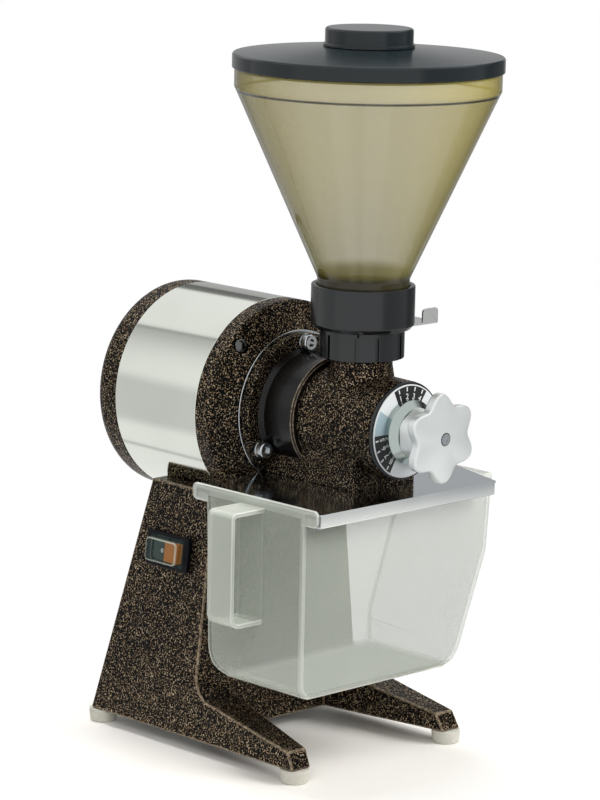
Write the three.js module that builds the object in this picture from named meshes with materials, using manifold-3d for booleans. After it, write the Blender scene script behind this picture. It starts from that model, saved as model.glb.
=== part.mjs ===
// Shop poppy seed grinder: a motor with a grinding head on its front flange, a cone hopper on top,
// a cast stand with two forward legs, and a clear drawer that hangs in a folded plate.
// Sizes are millimetres. X runs to the right, Y to the rear and Z up. Every Y place is counted from the
// hopper's centre line and every Z place from the floor, until the last lines centre the whole object.
import * as THREE from 'three';
import { mergeVertices } from 'three/addons/utils/BufferGeometryUtils.js';
import Module from 'manifold-3d';

const wasm = await Module();
wasm.setup();

// Clearances and fineness shared by all pieces.
const seatGap = 0.3;
const cutOverrun = 1.5;
const wideSides = 32;
const midSides = 20;
const slimSides = 10;
const turn = 2 * Math.PI;
const degree = Math.PI / 180;

// Driving dimensions, piece by piece.
const axle = { height: 272, radius: 10, journalRadius: 6, journalLength: 11, shoulder: -27 };

const head = {
  flangeRadius: 60.3, flangeFront: 64, flangeThickness: 8,
  drumRadius: 46.6, drumFront: 29, barrelRearRadius: 41.3, barrelFrontRadius: 38.8, barrelFront: -47.7,
  boreRadius: 34.3, chamberRadius: 41.3, chamberFront: 34, chamberRear: 57, shaftHoleRadius: 12,
  neckRadius: 24.4, neckRise: 68, throatRadius: 18, pedestalWidth: 69, pedestalFront: -28,
  outletWidth: 28, outletFront: 35.5, outletRear: 51.5, flangeLift: 2.4,
};
const bodyBolt = {
  count: 3, circleRadius: 54, firstAngle: 90, washerRadius: 7, washerThickness: 1.4,
  headRadius: 6.6, headHeight: 5.2, headEdge: 0.6, shankRadius: 3, shankReach: 18, socketRadius: 2.8,
  socketDepth: 2.6,
};
const clampRing = { outerRadius: 62.3, innerRadius: 48, thickness: 1.4 };

const motor = {
  radius: 85, sleeveWall: 1.2, sleeveSpare: 35, spigotWall: 3.5, spigotLength: 5.3,
  bandLength: 14, coneDepth: 9, coneWidth: 22.5, faceThickness: 8, coneRim: 1.5,
  bearingRadius: 22, bearingWidth: 13, pocketWall: 5.7, pocketLip: 4.3,
  rearBand: 13.4, rearCorner: 14, rearWall: 3.5, ventCount: 8, ventWidth: 6, ventInner: 42, ventInset: 19,
};
const stator = { coreWidth: 35.4, front: 114, length: 60, outerGap: 0.4 };
const winding = { boreGap: 4, inset: 11.4, length: 9.4 };
const rotor = { airGap: 0.8, overhang: 2 };
const fan = {
  inset: 15.8, hubRadius: 18, discThickness: 1.5, bladeHeight: 5.5, bladeThickness: 2, bladeCount: 8,
};
const tieRod = {
  count: 3, circleInset: 8.5, firstAngle: 135, radius: 2.5, headRadius: 5, headHeight: 3, headSeat: 84.5,
  pocketRadius: 6.1, bossRadius: 5.5, tipInset: 13.5,
  plugRise: 3.6, plugCrown: 3.2, plugEdge: 0.8,
};

const burr = { radius: 38, boreRadius: 20, fixedThickness: 6, turningThickness: 6.4, gap: 0.8, backCone: 1.8 };
const carrier = {
  boreRadius: 19.6, front: -40, frontWall: 8, flangeThickness: 4, feedHalfWidth: 17, travel: 1.25,
};
const auger = { hubRadius: 13, flightGap: 0.8, front: -26, turns: 1.5, steps: 20, points: 12 };
const seal = { rear: 67, length: 6 };

const cover = { radius: 38.5, flangeThickness: 2, spigotLength: 4.7 };
const dial = { radius: 36.6, thickness: 1 };
const collarRing = { radius: 25.2, length: 9.8, chamfer: 1 };
const spindle = { radius: 7, screwHole: 3.2, screwDepth: 14, blindWall: 13 };
const star = {
  hubRadius: 20, hubFrontRadius: 18, front: -93, thickness: 11, meanRadius: 31.6, lobeSwing: 4, lobes: 6,
  firstLobe: 34, edge: 2.2, points: 48, recessRadius: 5.2, recessDepth: 4,
};
const knobScrew = { headRadius: 4.6, headHeight: 3.6, shankRadius: 2.9, shankLength: 12, socketRadius: 2.3 };

const stand = {
  halfWidth: 94.4, topHalfWidth: 72, bottom: 11, topDrop: 63.4, rearBottom: 209, rearTop: 162, front: 88.5,
  legFront: -29.2, legTipTop: -22, legTipHeight: 25, legRootHeight: 41, legRoot: 62, filletRise: 21,
  legInnerFront: 74.5, legInnerRear: 54.7, wall: 6, saddleWall: 15, footBossRadius: 14, footBossHeight: 26,
};
const foot = {
  inset: 9.1, frontPlace: -22, rearPlace: 203.8, topRadius: 12, bottomRadius: 10.6, stemRadius: 2.6, stemReach: 6,
};
const floorPlate = {
  thickness: 1.5, edgeInset: 3.5, cornerCut: 16, screwRadius: 1.6, screwHeadRadius: 3, screwHeadHeight: 1.6,
  screwReach: 9, postHalf: 6,
};
const saddleBolt = { places: [124, 150], radius: 4, headRadius: 7, headHeight: 5, reach: 24 };
const capacitor = { radius: 17, height: 72, x: 34, y: 140 };
const gland = {
  height: 52, holeRadius: 8, flangeRadius: 12, flangeThickness: 4, domeRadius: 9, domeLength: 8, boreRadius: 5,
  innerReach: 9, domeEdge: 2.5,
};
const rocker = {
  place: 132, drop: 54.1, bezelLength: 49, bezelHeight: 28, bezelRise: 4, openLength: 36, openHeight: 19,
  boxLength: 46, boxHeight: 22, boxDepth: 22, bezelWall: 1.5, midRise: 6, keelDepth: 9, keelWidth: 12, gap: 0.9,
  throw: 14,
};
const hood = { rise: 7.6, wall: 0.8, flange: 2 };

const plate = {
  topDrop: 47.8, sheet: 1.5, left: -109.6, frontEdge: -70, rearEdge: 71, rightCorner: 84, apex: 105, apexHalf: 2,
  foldHeight: 11, lip: 11, outletMargin: 1, screwSpread: 52, screwPlace: 8, screwRadius: 2,
  screwHeadRadius: 4, screwReach: 9,
};
const tray = {
  left: -113, frontWall: -54.6, rearWall: 55, rearDraft: 5, bottomDrop: 149.2, wall: 2.6, leftWall: 2.8,
  topGap: 0.5, rearFillet: 27, frontFillet: 4, leftFillet: 4, pourFillet: 26, pourSlope: 0.377,
  pourReach: 91.8, pourDrop: 61.5,
  spoutStart: 61, spoutEndHalf: 38.5, spoutDrop: 61.2,
  rimGap: 1.1, rimThickness: 2.6, rimDrop: 7.2, rimLip: 2.4, capRise: 2.8, capDrop: 10.6, capBead: 2.2,
};
const grip = {
  front: -12, rear: 15, reach: 34, topDrop: 4.2, length: 91, sheet: 3.6, cornerRadius: 10, innerRadius: 6,
  ribWidth: 1.6, ribRise: 1.2, ribTail: 5,
};

const ribbed = {
  radius: 33.3, skirt: 16, seatRise: 6.5, slotCount: 10, slotDepth: 2.4, slotWidth: 2.6, wideShare: 44 / 72,
  firstSlot: -42, seatLip: 3.4,
};
const cup = {
  radius: 40.7, height: 34.1, chamferRadius: 37.6, chamfer: 3.6, bore: 36.6, floorThickness: 5.8,
  openingRadius: 24, rimEdge: 1,
};
const gate = {
  halfWidth: 28, thickness: 1.6, front: 30, reach: 56, rise: 1.2, earLength: 17, earHeight: 12.5, earRadius: 3,
  slotGap: 0.35, roundPoints: 9,
};
const hopper = {
  spigotRadius: 36.2, seatRise: 0.4, spigotLength: 33, wall: 2.4, coneLength: 145, coneRadius: 102.1,
  bandRadius: 103.3, bandLength: 16.6, outletRadius: 22,
};
const guard = { height: 3, drop: 10, barWidth: 4, barCount: 3, ringWall: 2.4 };
const lid = {
  rimRadius: 105.2, rimHeight: 11.4, crownRise: 6, sheet: 2.4, skirtReach: 7.6, skirtWall: 2, edge: 1.6,
  screwHole: 3.4, skirtGap: 0.6,
};
const lidKnob = {
  radius: 34.1, height: 14.7, footRadius: 35.5, footHeight: 2.2, edge: 2.2, wall: 2.6, bossRadius: 7,
  holeRadius: 2.9, screwRadius: 2.6, screwHeadRadius: 6, screwHeadHeight: 2.6, screwReach: 10,
};

// Places that follow from the driving dimensions.
const flangeRear = head.flangeFront + head.flangeThickness;
const ringRear = flangeRear + seatGap + clampRing.thickness;
const shieldFace = ringRear + seatGap;
const shieldRear = shieldFace + motor.coneDepth + motor.coneRim + motor.bandLength;
const sleeveFront = shieldRear + seatGap;
const sleeveRear = sleeveFront + stator.length + motor.sleeveSpare;
const capFront = sleeveRear + seatGap;
const capRear = capFront + motor.rearBand + motor.rearCorner;
const sleeveBore = motor.radius - motor.sleeveWall;
const landRadius = motor.radius - motor.coneWidth;
const rodCircle = motor.radius - tieRod.circleInset;
const rodTip = capRear - tieRod.tipInset;
const spigotRadius = sleeveBore - seatGap;
const frontBearing = shieldFace + motor.pocketLip;
const rearPocketFloor = capRear - motor.rearWall - motor.pocketLip;
const rearBearing = rearPocketFloor - seatGap - motor.bearingWidth;
const shaftRear = rearPocketFloor - 2 * seatGap;
const statorRear = stator.front + stator.length;
const statorRadius = sleeveBore - stator.outerGap;
const statorBore = statorRadius - stator.coreWidth;
const windingRadius = statorRadius - winding.inset;
const fanRadius = sleeveBore - fan.inset;
const coverFront = head.barrelFront - seatGap - cover.flangeThickness;
const dialFront = coverFront - seatGap - dial.thickness;
const collarFront = dialFront - seatGap - collarRing.length;
const starRear = star.front + star.thickness;
const standTop = axle.height - stand.topDrop;
const standCeiling = axle.height - motor.radius - stand.saddleWall;
const switchHeight = standTop - rocker.drop;
const standSlope = (stand.halfWidth - stand.topHalfWidth) / (standTop - stand.bottom);
const rearSlope = (stand.rearBottom - stand.rearTop) / (standTop - stand.bottom);
const sheetTop = axle.height - plate.topDrop;
const pedestalBottom = sheetTop + seatGap;
const plateUnder = sheetTop - plate.sheet;
const trayBottom = sheetTop - tray.bottomDrop;
const pourLevel = sheetTop - tray.pourDrop;
const spoutLow = sheetTop - tray.spoutDrop;
const endCapTop = sheetTop + tray.capRise;
const endCapBottom = sheetTop - tray.capDrop;
const gripTop = sheetTop - grip.topDrop;
const gripBottom = gripTop - grip.length;
const neckTop = axle.height + head.neckRise;
const ribbedBottom = neckTop - ribbed.skirt;
const ribbedTop = neckTop + ribbed.seatRise;
const cupBottom = ribbedTop + seatGap;
const cupTop = cupBottom + cup.height;
const cupFloor = cupBottom + cup.floorThickness;
const gateBottom = cupBottom + gate.rise;
const hopperBottom = cupFloor + hopper.seatRise;
const spigotTop = hopperBottom + hopper.spigotLength;
const coneTop = spigotTop + hopper.coneLength;
const hopperTop = coneTop + hopper.bandLength;
const guardBottom = spigotTop - guard.drop;
const lidBottom = hopperTop + seatGap;
const lidShoulder = lidBottom + lid.rimHeight;
const lidCrown = lidShoulder + lid.crownRise;
const skirtBottom = hopperTop - lid.skirtReach;
const knobTop = lidCrown + lidKnob.height;
const footSpread = stand.halfWidth - foot.inset;
const carrierRadius = head.boreRadius - seatGap;
const flangeStart = head.chamberFront + carrier.travel + 2 * seatGap;
const fixedBurrFront = flangeStart + carrier.flangeThickness + seatGap;
const turningBurrFront = fixedBurrFront + burr.fixedThickness + burr.gap;

const finish = {
  hammered: { color: 0x33241c, roughness: 0.45, metalness: 0.55 },
  steel: { color: 0xc9ccd0, roughness: 0.18, metalness: 1 },
  zinc: { color: 0xb9bcc0, roughness: 0.35, metalness: 1 },
  castAluminium: { color: 0xb4b7b9, roughness: 0.5, metalness: 0.9 },
  black: { color: 0x1c2026, roughness: 0.35, metalness: 0 },
  clear: { color: 0xdfe6da, roughness: 0.08, metalness: 0 },
  smoked: { color: 0x8d8257, roughness: 0.1, metalness: 0 },
  rubber: { color: 0xd8d6cb, roughness: 0.8, metalness: 0 },
  white: { color: 0xf2f3f2, roughness: 0.4, metalness: 0 },
  amber: { color: 0xc06a1c, roughness: 0.3, metalness: 0 },
  copper: { color: 0xa8602f, roughness: 0.4, metalness: 1 },
  iron: { color: 0x5b5d60, roughness: 0.5, metalness: 0.9 },
};

// Solids: a geometry becomes a closed body, and bodies are joined or cut.
function closedBody(geometry) {
  const plain = geometry.clone();
  plain.deleteAttribute('normal');
  plain.deleteAttribute('uv');
  const merged = mergeVertices(plain);
  const places = merged.attributes.position.array;
  const corner = (i) => new THREE.Vector3(places[3 * i], places[3 * i + 1], places[3 * i + 2]);
  const faces = [];
  let volume = 0;
  for (let i = 0; i < merged.index.count; i += 3) {
    const [a, b, c] = [merged.index.getX(i), merged.index.getX(i + 1), merged.index.getX(i + 2)];
    if (a === b || b === c || a === c) continue;
    faces.push([a, b, c]);
    volume += corner(a).dot(corner(b).cross(corner(c)));
  }
  const outward = volume > 0 ? faces : faces.map(([a, b, c]) => [a, c, b]);
  return new wasm.Manifold(new wasm.Mesh({
    numProp: 3,
    vertProperties: new Float32Array(places),
    triVerts: new Uint32Array(outward.flat()),
  }));
}

function geometryOf(body) {
  const mesh = body.getMesh();
  const geometry = new THREE.BufferGeometry();
  geometry.setAttribute('position', new THREE.BufferAttribute(mesh.vertProperties, mesh.numProp));
  geometry.setIndex(new THREE.BufferAttribute(mesh.triVerts, 1));
  geometry.computeVertexNormals();
  return geometry;
}

function join(...pieces) {
  return geometryOf(pieces.map(closedBody).reduce((sum, next) => sum.add(next)));
}

function cut(piece, ...tools) {
  return geometryOf(tools.map(closedBody).reduce((rest, tool) => rest.subtract(tool), closedBody(piece)));
}

function meet(piece, other) {
  return geometryOf(closedBody(piece).intersect(closedBody(other)));
}

function block(left, right, front, rear, bottom, top) {
  const geometry = new THREE.BoxGeometry(right - left, rear - front, top - bottom);
  return geometry.translate((left + right) / 2, (front + rear) / 2, (bottom + top) / 2);
}

// A turned profile is a list of [radius, place along the axis]; off the axis it closes on itself.
function turned(profile, sides) {
  const points = profile.map(([radius, place]) => new THREE.Vector2(radius, place));
  if (profile[0][0] > 0 || profile.at(-1)[0] > 0) points.push(points[0].clone());
  return new THREE.LatheGeometry(points, sides);
}

function turnedAlongY(profile, sides = wideSides, x = 0, z = axle.height) {
  return turned(profile, sides).translate(x, 0, z);
}

function turnedAlongZ(profile, sides = wideSides, x = 0, y = 0) {
  return turned(profile, sides).rotateX(Math.PI / 2).translate(x, y, 0);
}

function tubeAlongY(inner, outer, front, rear, sides = wideSides) {
  return turnedAlongY([[inner, front], [outer, front], [outer, rear], [inner, rear]], sides);
}

function rodAlongY(radius, front, rear, x = 0, z = axle.height, sides = slimSides) {
  return turnedAlongY([[0, front], [radius, front], [radius, rear], [0, rear]], sides, x, z);
}

function rodAlongZ(radius, bottom, top, x = 0, y = 0, sides = slimSides) {
  return turnedAlongZ([[0, bottom], [radius, bottom], [radius, top], [0, top]], sides, x, y);
}

function outline(points) {
  return new THREE.Shape(points.map(([u, v]) => new THREE.Vector2(u, v)));
}

function prismZ(points, bottom, top) {
  const settings = { depth: top - bottom, bevelEnabled: false };
  return new THREE.ExtrudeGeometry(outline(points), settings).translate(0, 0, bottom);
}

// The outline is in X and Z, and the prism runs along Y.
function prismY(points, front, rear) {
  const settings = { depth: rear - front, bevelEnabled: false };
  return new THREE.ExtrudeGeometry(outline(points), settings).rotateX(Math.PI / 2).translate(0, rear, 0);
}

// The outline is in Y and Z, and the prism runs along X.
function prismX(points, left, right) {
  const settings = { depth: right - left, bevelEnabled: false };
  const toWorld = new THREE.Matrix4().makeBasis(
    new THREE.Vector3(0, 1, 0), new THREE.Vector3(0, 0, 1), new THREE.Vector3(1, 0, 0));
  return new THREE.ExtrudeGeometry(outline(points), settings).applyMatrix4(toWorld).translate(left, 0, 0);
}

function arc(u, v, radius, fromAngle, toAngle, steps) {
  return Array.from({ length: steps + 1 }, (_, i) => {
    const angle = (fromAngle + (toAngle - fromAngle) * i / steps) * degree;
    return [u + radius * Math.cos(angle), v + radius * Math.sin(angle)];
  });
}

// Places around the axle, evenly spaced: each is [x, z].
function aroundAxle(count, radius, firstAngle) {
  return Array.from({ length: count }, (_, i) => {
    const angle = firstAngle * degree + turn * i / count;
    return [radius * Math.cos(angle), axle.height + radius * Math.sin(angle)];
  });
}

const grinder = new THREE.Group();

function addPiece(name, geometry, look, parent = grinder) {
  const material = new THREE.MeshStandardMaterial({ ...look, flatShading: true });
  const mesh = new THREE.Mesh(join(geometry), material);
  mesh.name = name;
  parent.add(mesh);
  return mesh;
}

// Each copy of a repeated piece is a mesh of its own, numbered from 1.
function addSet(name, geometries, look) {
  geometries.forEach((geometry, i) => addPiece(`${name}_${i + 1}`, geometry, look));
}

// A screw stands along Z, head down: its head's seat and its tip are heights.
function screwAlongZ(size, seat, tip, x, y) {
  return turnedAlongZ([
    [0, seat - size.headHeight], [size.headRadius, seat - size.headHeight], [size.headRadius, seat],
    [size.radius, seat], [size.radius, tip], [0, tip],
  ], slimSides, x, y);
}

// Half width of the stand's slanted side at a height.
function standHalf(z) {
  return stand.halfWidth - standSlope * (z - stand.bottom);
}

// Stand: one hollow casting, open below, with a saddle for the motor and two forward legs.
function standSolid() {
  const legSlope = (stand.legRootHeight - stand.legTipHeight) / (stand.legRoot - stand.legTipTop);
  const filletStart = stand.front - stand.filletRise;
  const filletLevel = stand.legTipHeight + legSlope * (filletStart - stand.legTipTop);
  const fillet = arc(filletStart, filletLevel + stand.filletRise, stand.filletRise, -90, 0, 5);
  const side = [
    [stand.legFront, stand.bottom], [stand.rearBottom, stand.bottom], [stand.rearTop, standTop],
    [stand.front, standTop], ...fillet.reverse(), [stand.legTipTop, stand.legTipHeight],
  ];
  const slab = prismX(side, -stand.halfWidth, stand.halfWidth);
  const frontView = [
    [-stand.halfWidth, stand.bottom], [stand.halfWidth, stand.bottom],
    [stand.topHalfWidth, standTop], [-stand.topHalfWidth, standTop],
  ];
  const outer = meet(slab, prismY(frontView, stand.legFront - cutOverrun, stand.rearBottom + cutOverrun));
  const legSpread = (stand.legInnerFront - stand.legInnerRear) / (stand.front - stand.legFront);
  const mouth = stand.legInnerFront + legSpread * cutOverrun;
  const between = prismZ([
    [-mouth, stand.legFront - cutOverrun], [mouth, stand.legFront - cutOverrun],
    [stand.legInnerRear, stand.front], [-stand.legInnerRear, stand.front],
  ], stand.bottom - cutOverrun, standTop + cutOverrun);
  const rearInside = (z) => stand.rearBottom - rearSlope * (z - stand.bottom) - stand.wall;
  const low = stand.bottom - cutOverrun;
  const hollow = meet(
    prismX([
      [stand.front + stand.wall, low], [rearInside(low), low],
      [rearInside(standCeiling), standCeiling], [stand.front + stand.wall, standCeiling],
    ], -stand.halfWidth, stand.halfWidth),
    prismY([
      [-standHalf(low) + stand.wall, low], [standHalf(low) - stand.wall, low],
      [standHalf(standCeiling) - stand.wall, standCeiling], [-standHalf(standCeiling) + stand.wall, standCeiling],
    ], stand.front, stand.rearBottom));
  const saddle = rodAlongY(motor.radius + seatGap, shieldFace, capRear, 0, axle.height, wideSides);
  const bosses = [-footSpread, footSpread].map((x) => meet(outer, rodAlongZ(
    stand.footBossRadius, stand.bottom, stand.bottom + stand.footBossHeight, x, foot.rearPlace, midSides)));
  return join(cut(outer, between, hollow, saddle), ...bosses);
}

function footPlaces() {
  return [foot.frontPlace, foot.rearPlace].flatMap((y) => [[-footSpread, y], [footSpread, y]]);
}

function floorPlateOutline(grow) {
  const half = standHalf(stand.bottom) - floorPlate.edgeInset + grow;
  const front = stand.front + floorPlate.edgeInset - grow;
  const rear = stand.rearBottom - floorPlate.edgeInset + grow;
  const corner = floorPlate.cornerCut;
  return [
    [-half, front], [half, front], [half, rear - corner], [half - corner, rear], [corner - half, rear],
    [-half, rear - corner],
  ];
}

function floorScrewPlaces() {
  const half = standHalf(stand.bottom) - stand.wall - floorPlate.postHalf;
  const middle = (stand.front + stand.rearBottom) / 2;
  return [[-half, middle], [half, middle]];
}

function addStand() {
  const recessTop = stand.bottom + floorPlate.thickness + seatGap;
  const postTop = recessTop + floorPlate.screwReach + cutOverrun;
  const recess = prismZ(floorPlateOutline(seatGap), stand.bottom - cutOverrun, recessTop);
  const posts = floorScrewPlaces().map(([x, y]) => {
    const wallSide = Math.sign(x) * (standHalf(postTop) - stand.wall / 2);
    const openSide = x - Math.sign(x) * floorPlate.postHalf;
    return block(Math.min(wallSide, openSide), Math.max(wallSide, openSide), y - floorPlate.postHalf,
      y + floorPlate.postHalf, recessTop, postTop);
  });
  const footHoles = footPlaces().map(([x, y]) => rodAlongZ(
    foot.stemRadius + seatGap, stand.bottom - cutOverrun, stand.bottom + foot.stemReach + seatGap, x, y));
  const boltHoles = saddleBolt.places.map((y) => rodAlongZ(
    saddleBolt.radius + seatGap, standCeiling - cutOverrun, axle.height, 0, y));
  const screwHoles = floorScrewPlaces().map(([x, y]) => rodAlongZ(
    floorPlate.screwRadius + seatGap, stand.bottom, recessTop + floorPlate.screwReach, x, y));
  const glandHole = turned([
    [0, -stand.wall * 2], [gland.holeRadius + seatGap, -stand.wall * 2],
    [gland.holeRadius + seatGap, stand.wall], [0, stand.wall],
  ], slimSides).applyMatrix4(glandFrame());
  const switchHole = block(-rocker.boxDepth, rocker.boxDepth, -rocker.boxLength / 2 - seatGap,
    rocker.boxLength / 2 + seatGap, -rocker.boxHeight / 2 - seatGap, rocker.boxHeight / 2 + seatGap)
    .applyMatrix4(switchFrame());
  addPiece('stand_casting', cut(join(standSolid(), ...posts), recess, ...footHoles, ...boltHoles, ...screwHoles,
    glandHole, switchHole), finish.hammered);

  const plateHoles = floorScrewPlaces().map(([x, y]) => rodAlongZ(
    floorPlate.screwRadius + seatGap, stand.bottom - cutOverrun, recessTop, x, y));
  addPiece('floor_plate', cut(prismZ(floorPlateOutline(0), stand.bottom, stand.bottom + floorPlate.thickness),
    ...plateHoles), finish.zinc);
  const plateScrew = {
    radius: floorPlate.screwRadius, headRadius: floorPlate.screwHeadRadius, headHeight: floorPlate.screwHeadHeight,
  };
  addSet('floor_plate_screw', floorScrewPlaces().map(([x, y]) => screwAlongZ(
    plateScrew, stand.bottom - seatGap, recessTop + floorPlate.screwReach - seatGap, x, y)), finish.zinc);

  const footTop = stand.bottom - seatGap;
  addSet('rubber_foot', footPlaces().map(([x, y]) => turnedAlongZ([
    [0, 0], [foot.bottomRadius, 0], [foot.topRadius, footTop], [foot.stemRadius, footTop],
    [foot.stemRadius, stand.bottom + foot.stemReach], [0, stand.bottom + foot.stemReach],
  ], midSides, x, y)), finish.rubber);

  const boltSeat = standCeiling - seatGap;
  addSet('saddle_bolt', saddleBolt.places.map((y) => screwAlongZ(
    saddleBolt, boltSeat, boltSeat + saddleBolt.reach, 0, y)), finish.zinc);

  const seat = stand.bottom + floorPlate.thickness + seatGap;
  addPiece('run_capacitor', rodAlongZ(
    capacitor.radius, seat, seat + capacitor.height, capacitor.x, capacitor.y, midSides), finish.white);
}

// The cord inlet sits square on the stand's leaning rear wall: its own Y axis points out of the wall.
function glandFrame() {
  const lean = Math.atan(rearSlope);
  const y = stand.rearBottom - rearSlope * (gland.height - stand.bottom);
  return new THREE.Matrix4().makeTranslation(0, y, gland.height).multiply(new THREE.Matrix4().makeRotationX(lean));
}

function addCordInlet() {
  const flangeEnd = seatGap + gland.flangeThickness;
  const domeEnd = flangeEnd + gland.domeLength;
  addPiece('cord_inlet', turned([
    [gland.boreRadius, -gland.innerReach], [gland.holeRadius, -gland.innerReach], [gland.holeRadius, seatGap],
    [gland.flangeRadius, seatGap], [gland.flangeRadius, flangeEnd], [gland.domeRadius, flangeEnd],
    [gland.domeRadius, domeEnd - gland.domeEdge], [gland.domeRadius - gland.domeEdge, domeEnd],
    [gland.boreRadius, domeEnd],
  ], slimSides).applyMatrix4(glandFrame()), finish.black);
}

// The switch's own X axis points into the stand, square to its slanted left side.
function switchFrame() {
  const lean = Math.atan(standSlope);
  return new THREE.Matrix4().makeTranslation(-standHalf(switchHeight), rocker.place, switchHeight)
    .multiply(new THREE.Matrix4().makeRotationY(lean));
}

function addSwitch() {
  const bezel = cut(
    join(
      block(-rocker.bezelRise - seatGap, -seatGap, -rocker.bezelLength / 2, rocker.bezelLength / 2,
        -rocker.bezelHeight / 2, rocker.bezelHeight / 2),
      block(-seatGap - rocker.bezelRise / 2, rocker.boxDepth, -rocker.boxLength / 2, rocker.boxLength / 2,
        -rocker.boxHeight / 2, rocker.boxHeight / 2)),
    block(-rocker.bezelRise * 2, rocker.boxDepth - rocker.bezelWall * 2, -rocker.openLength / 2 + rocker.gap / 2,
      rocker.openLength / 2 - rocker.gap / 2, -rocker.openHeight / 2 + rocker.gap / 2,
      rocker.openHeight / 2 - rocker.gap / 2));
  addPiece('switch_housing', bezel.applyMatrix4(switchFrame()), finish.black);

  const half = rocker.openLength / 2 - 2 * rocker.gap;
  const high = rocker.openHeight / 2 - 1.5 * rocker.gap;
  const lean = rocker.throw / 2 * degree;
  const side = [
    [-half, 0], [half, 0], [half, -rocker.midRise], [0, -rocker.midRise - rocker.gap], [-half, -rocker.midRise],
  ];
  const cap = prismZ(side.map(([y, x]) => [x, y]), -high, high);
  const keel = block(-rocker.gap, rocker.keelDepth, -rocker.keelWidth / 2, rocker.keelWidth / 2, -high, high);
  const paddle = join(cap, keel).rotateZ(-lean);
  addPiece('switch_rocker', paddle.applyMatrix4(switchFrame()), finish.amber);

  const seat = -rocker.bezelRise - 2 * seatGap;
  const shell = (outside, shrink, front) => block(front, outside, shrink - rocker.openLength / 2,
    rocker.openLength / 2 - shrink, shrink - rocker.openHeight / 2, rocker.openHeight / 2 - shrink);
  const cover = cut(
    join(shell(seat, -hood.flange, seat - hood.wall), shell(seat, 0, seat - hood.rise)),
    shell(seat + hood.wall, hood.wall, seat - hood.rise + hood.wall));
  addPiece('switch_hood', cover.applyMatrix4(switchFrame()), finish.clear);
}

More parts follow.
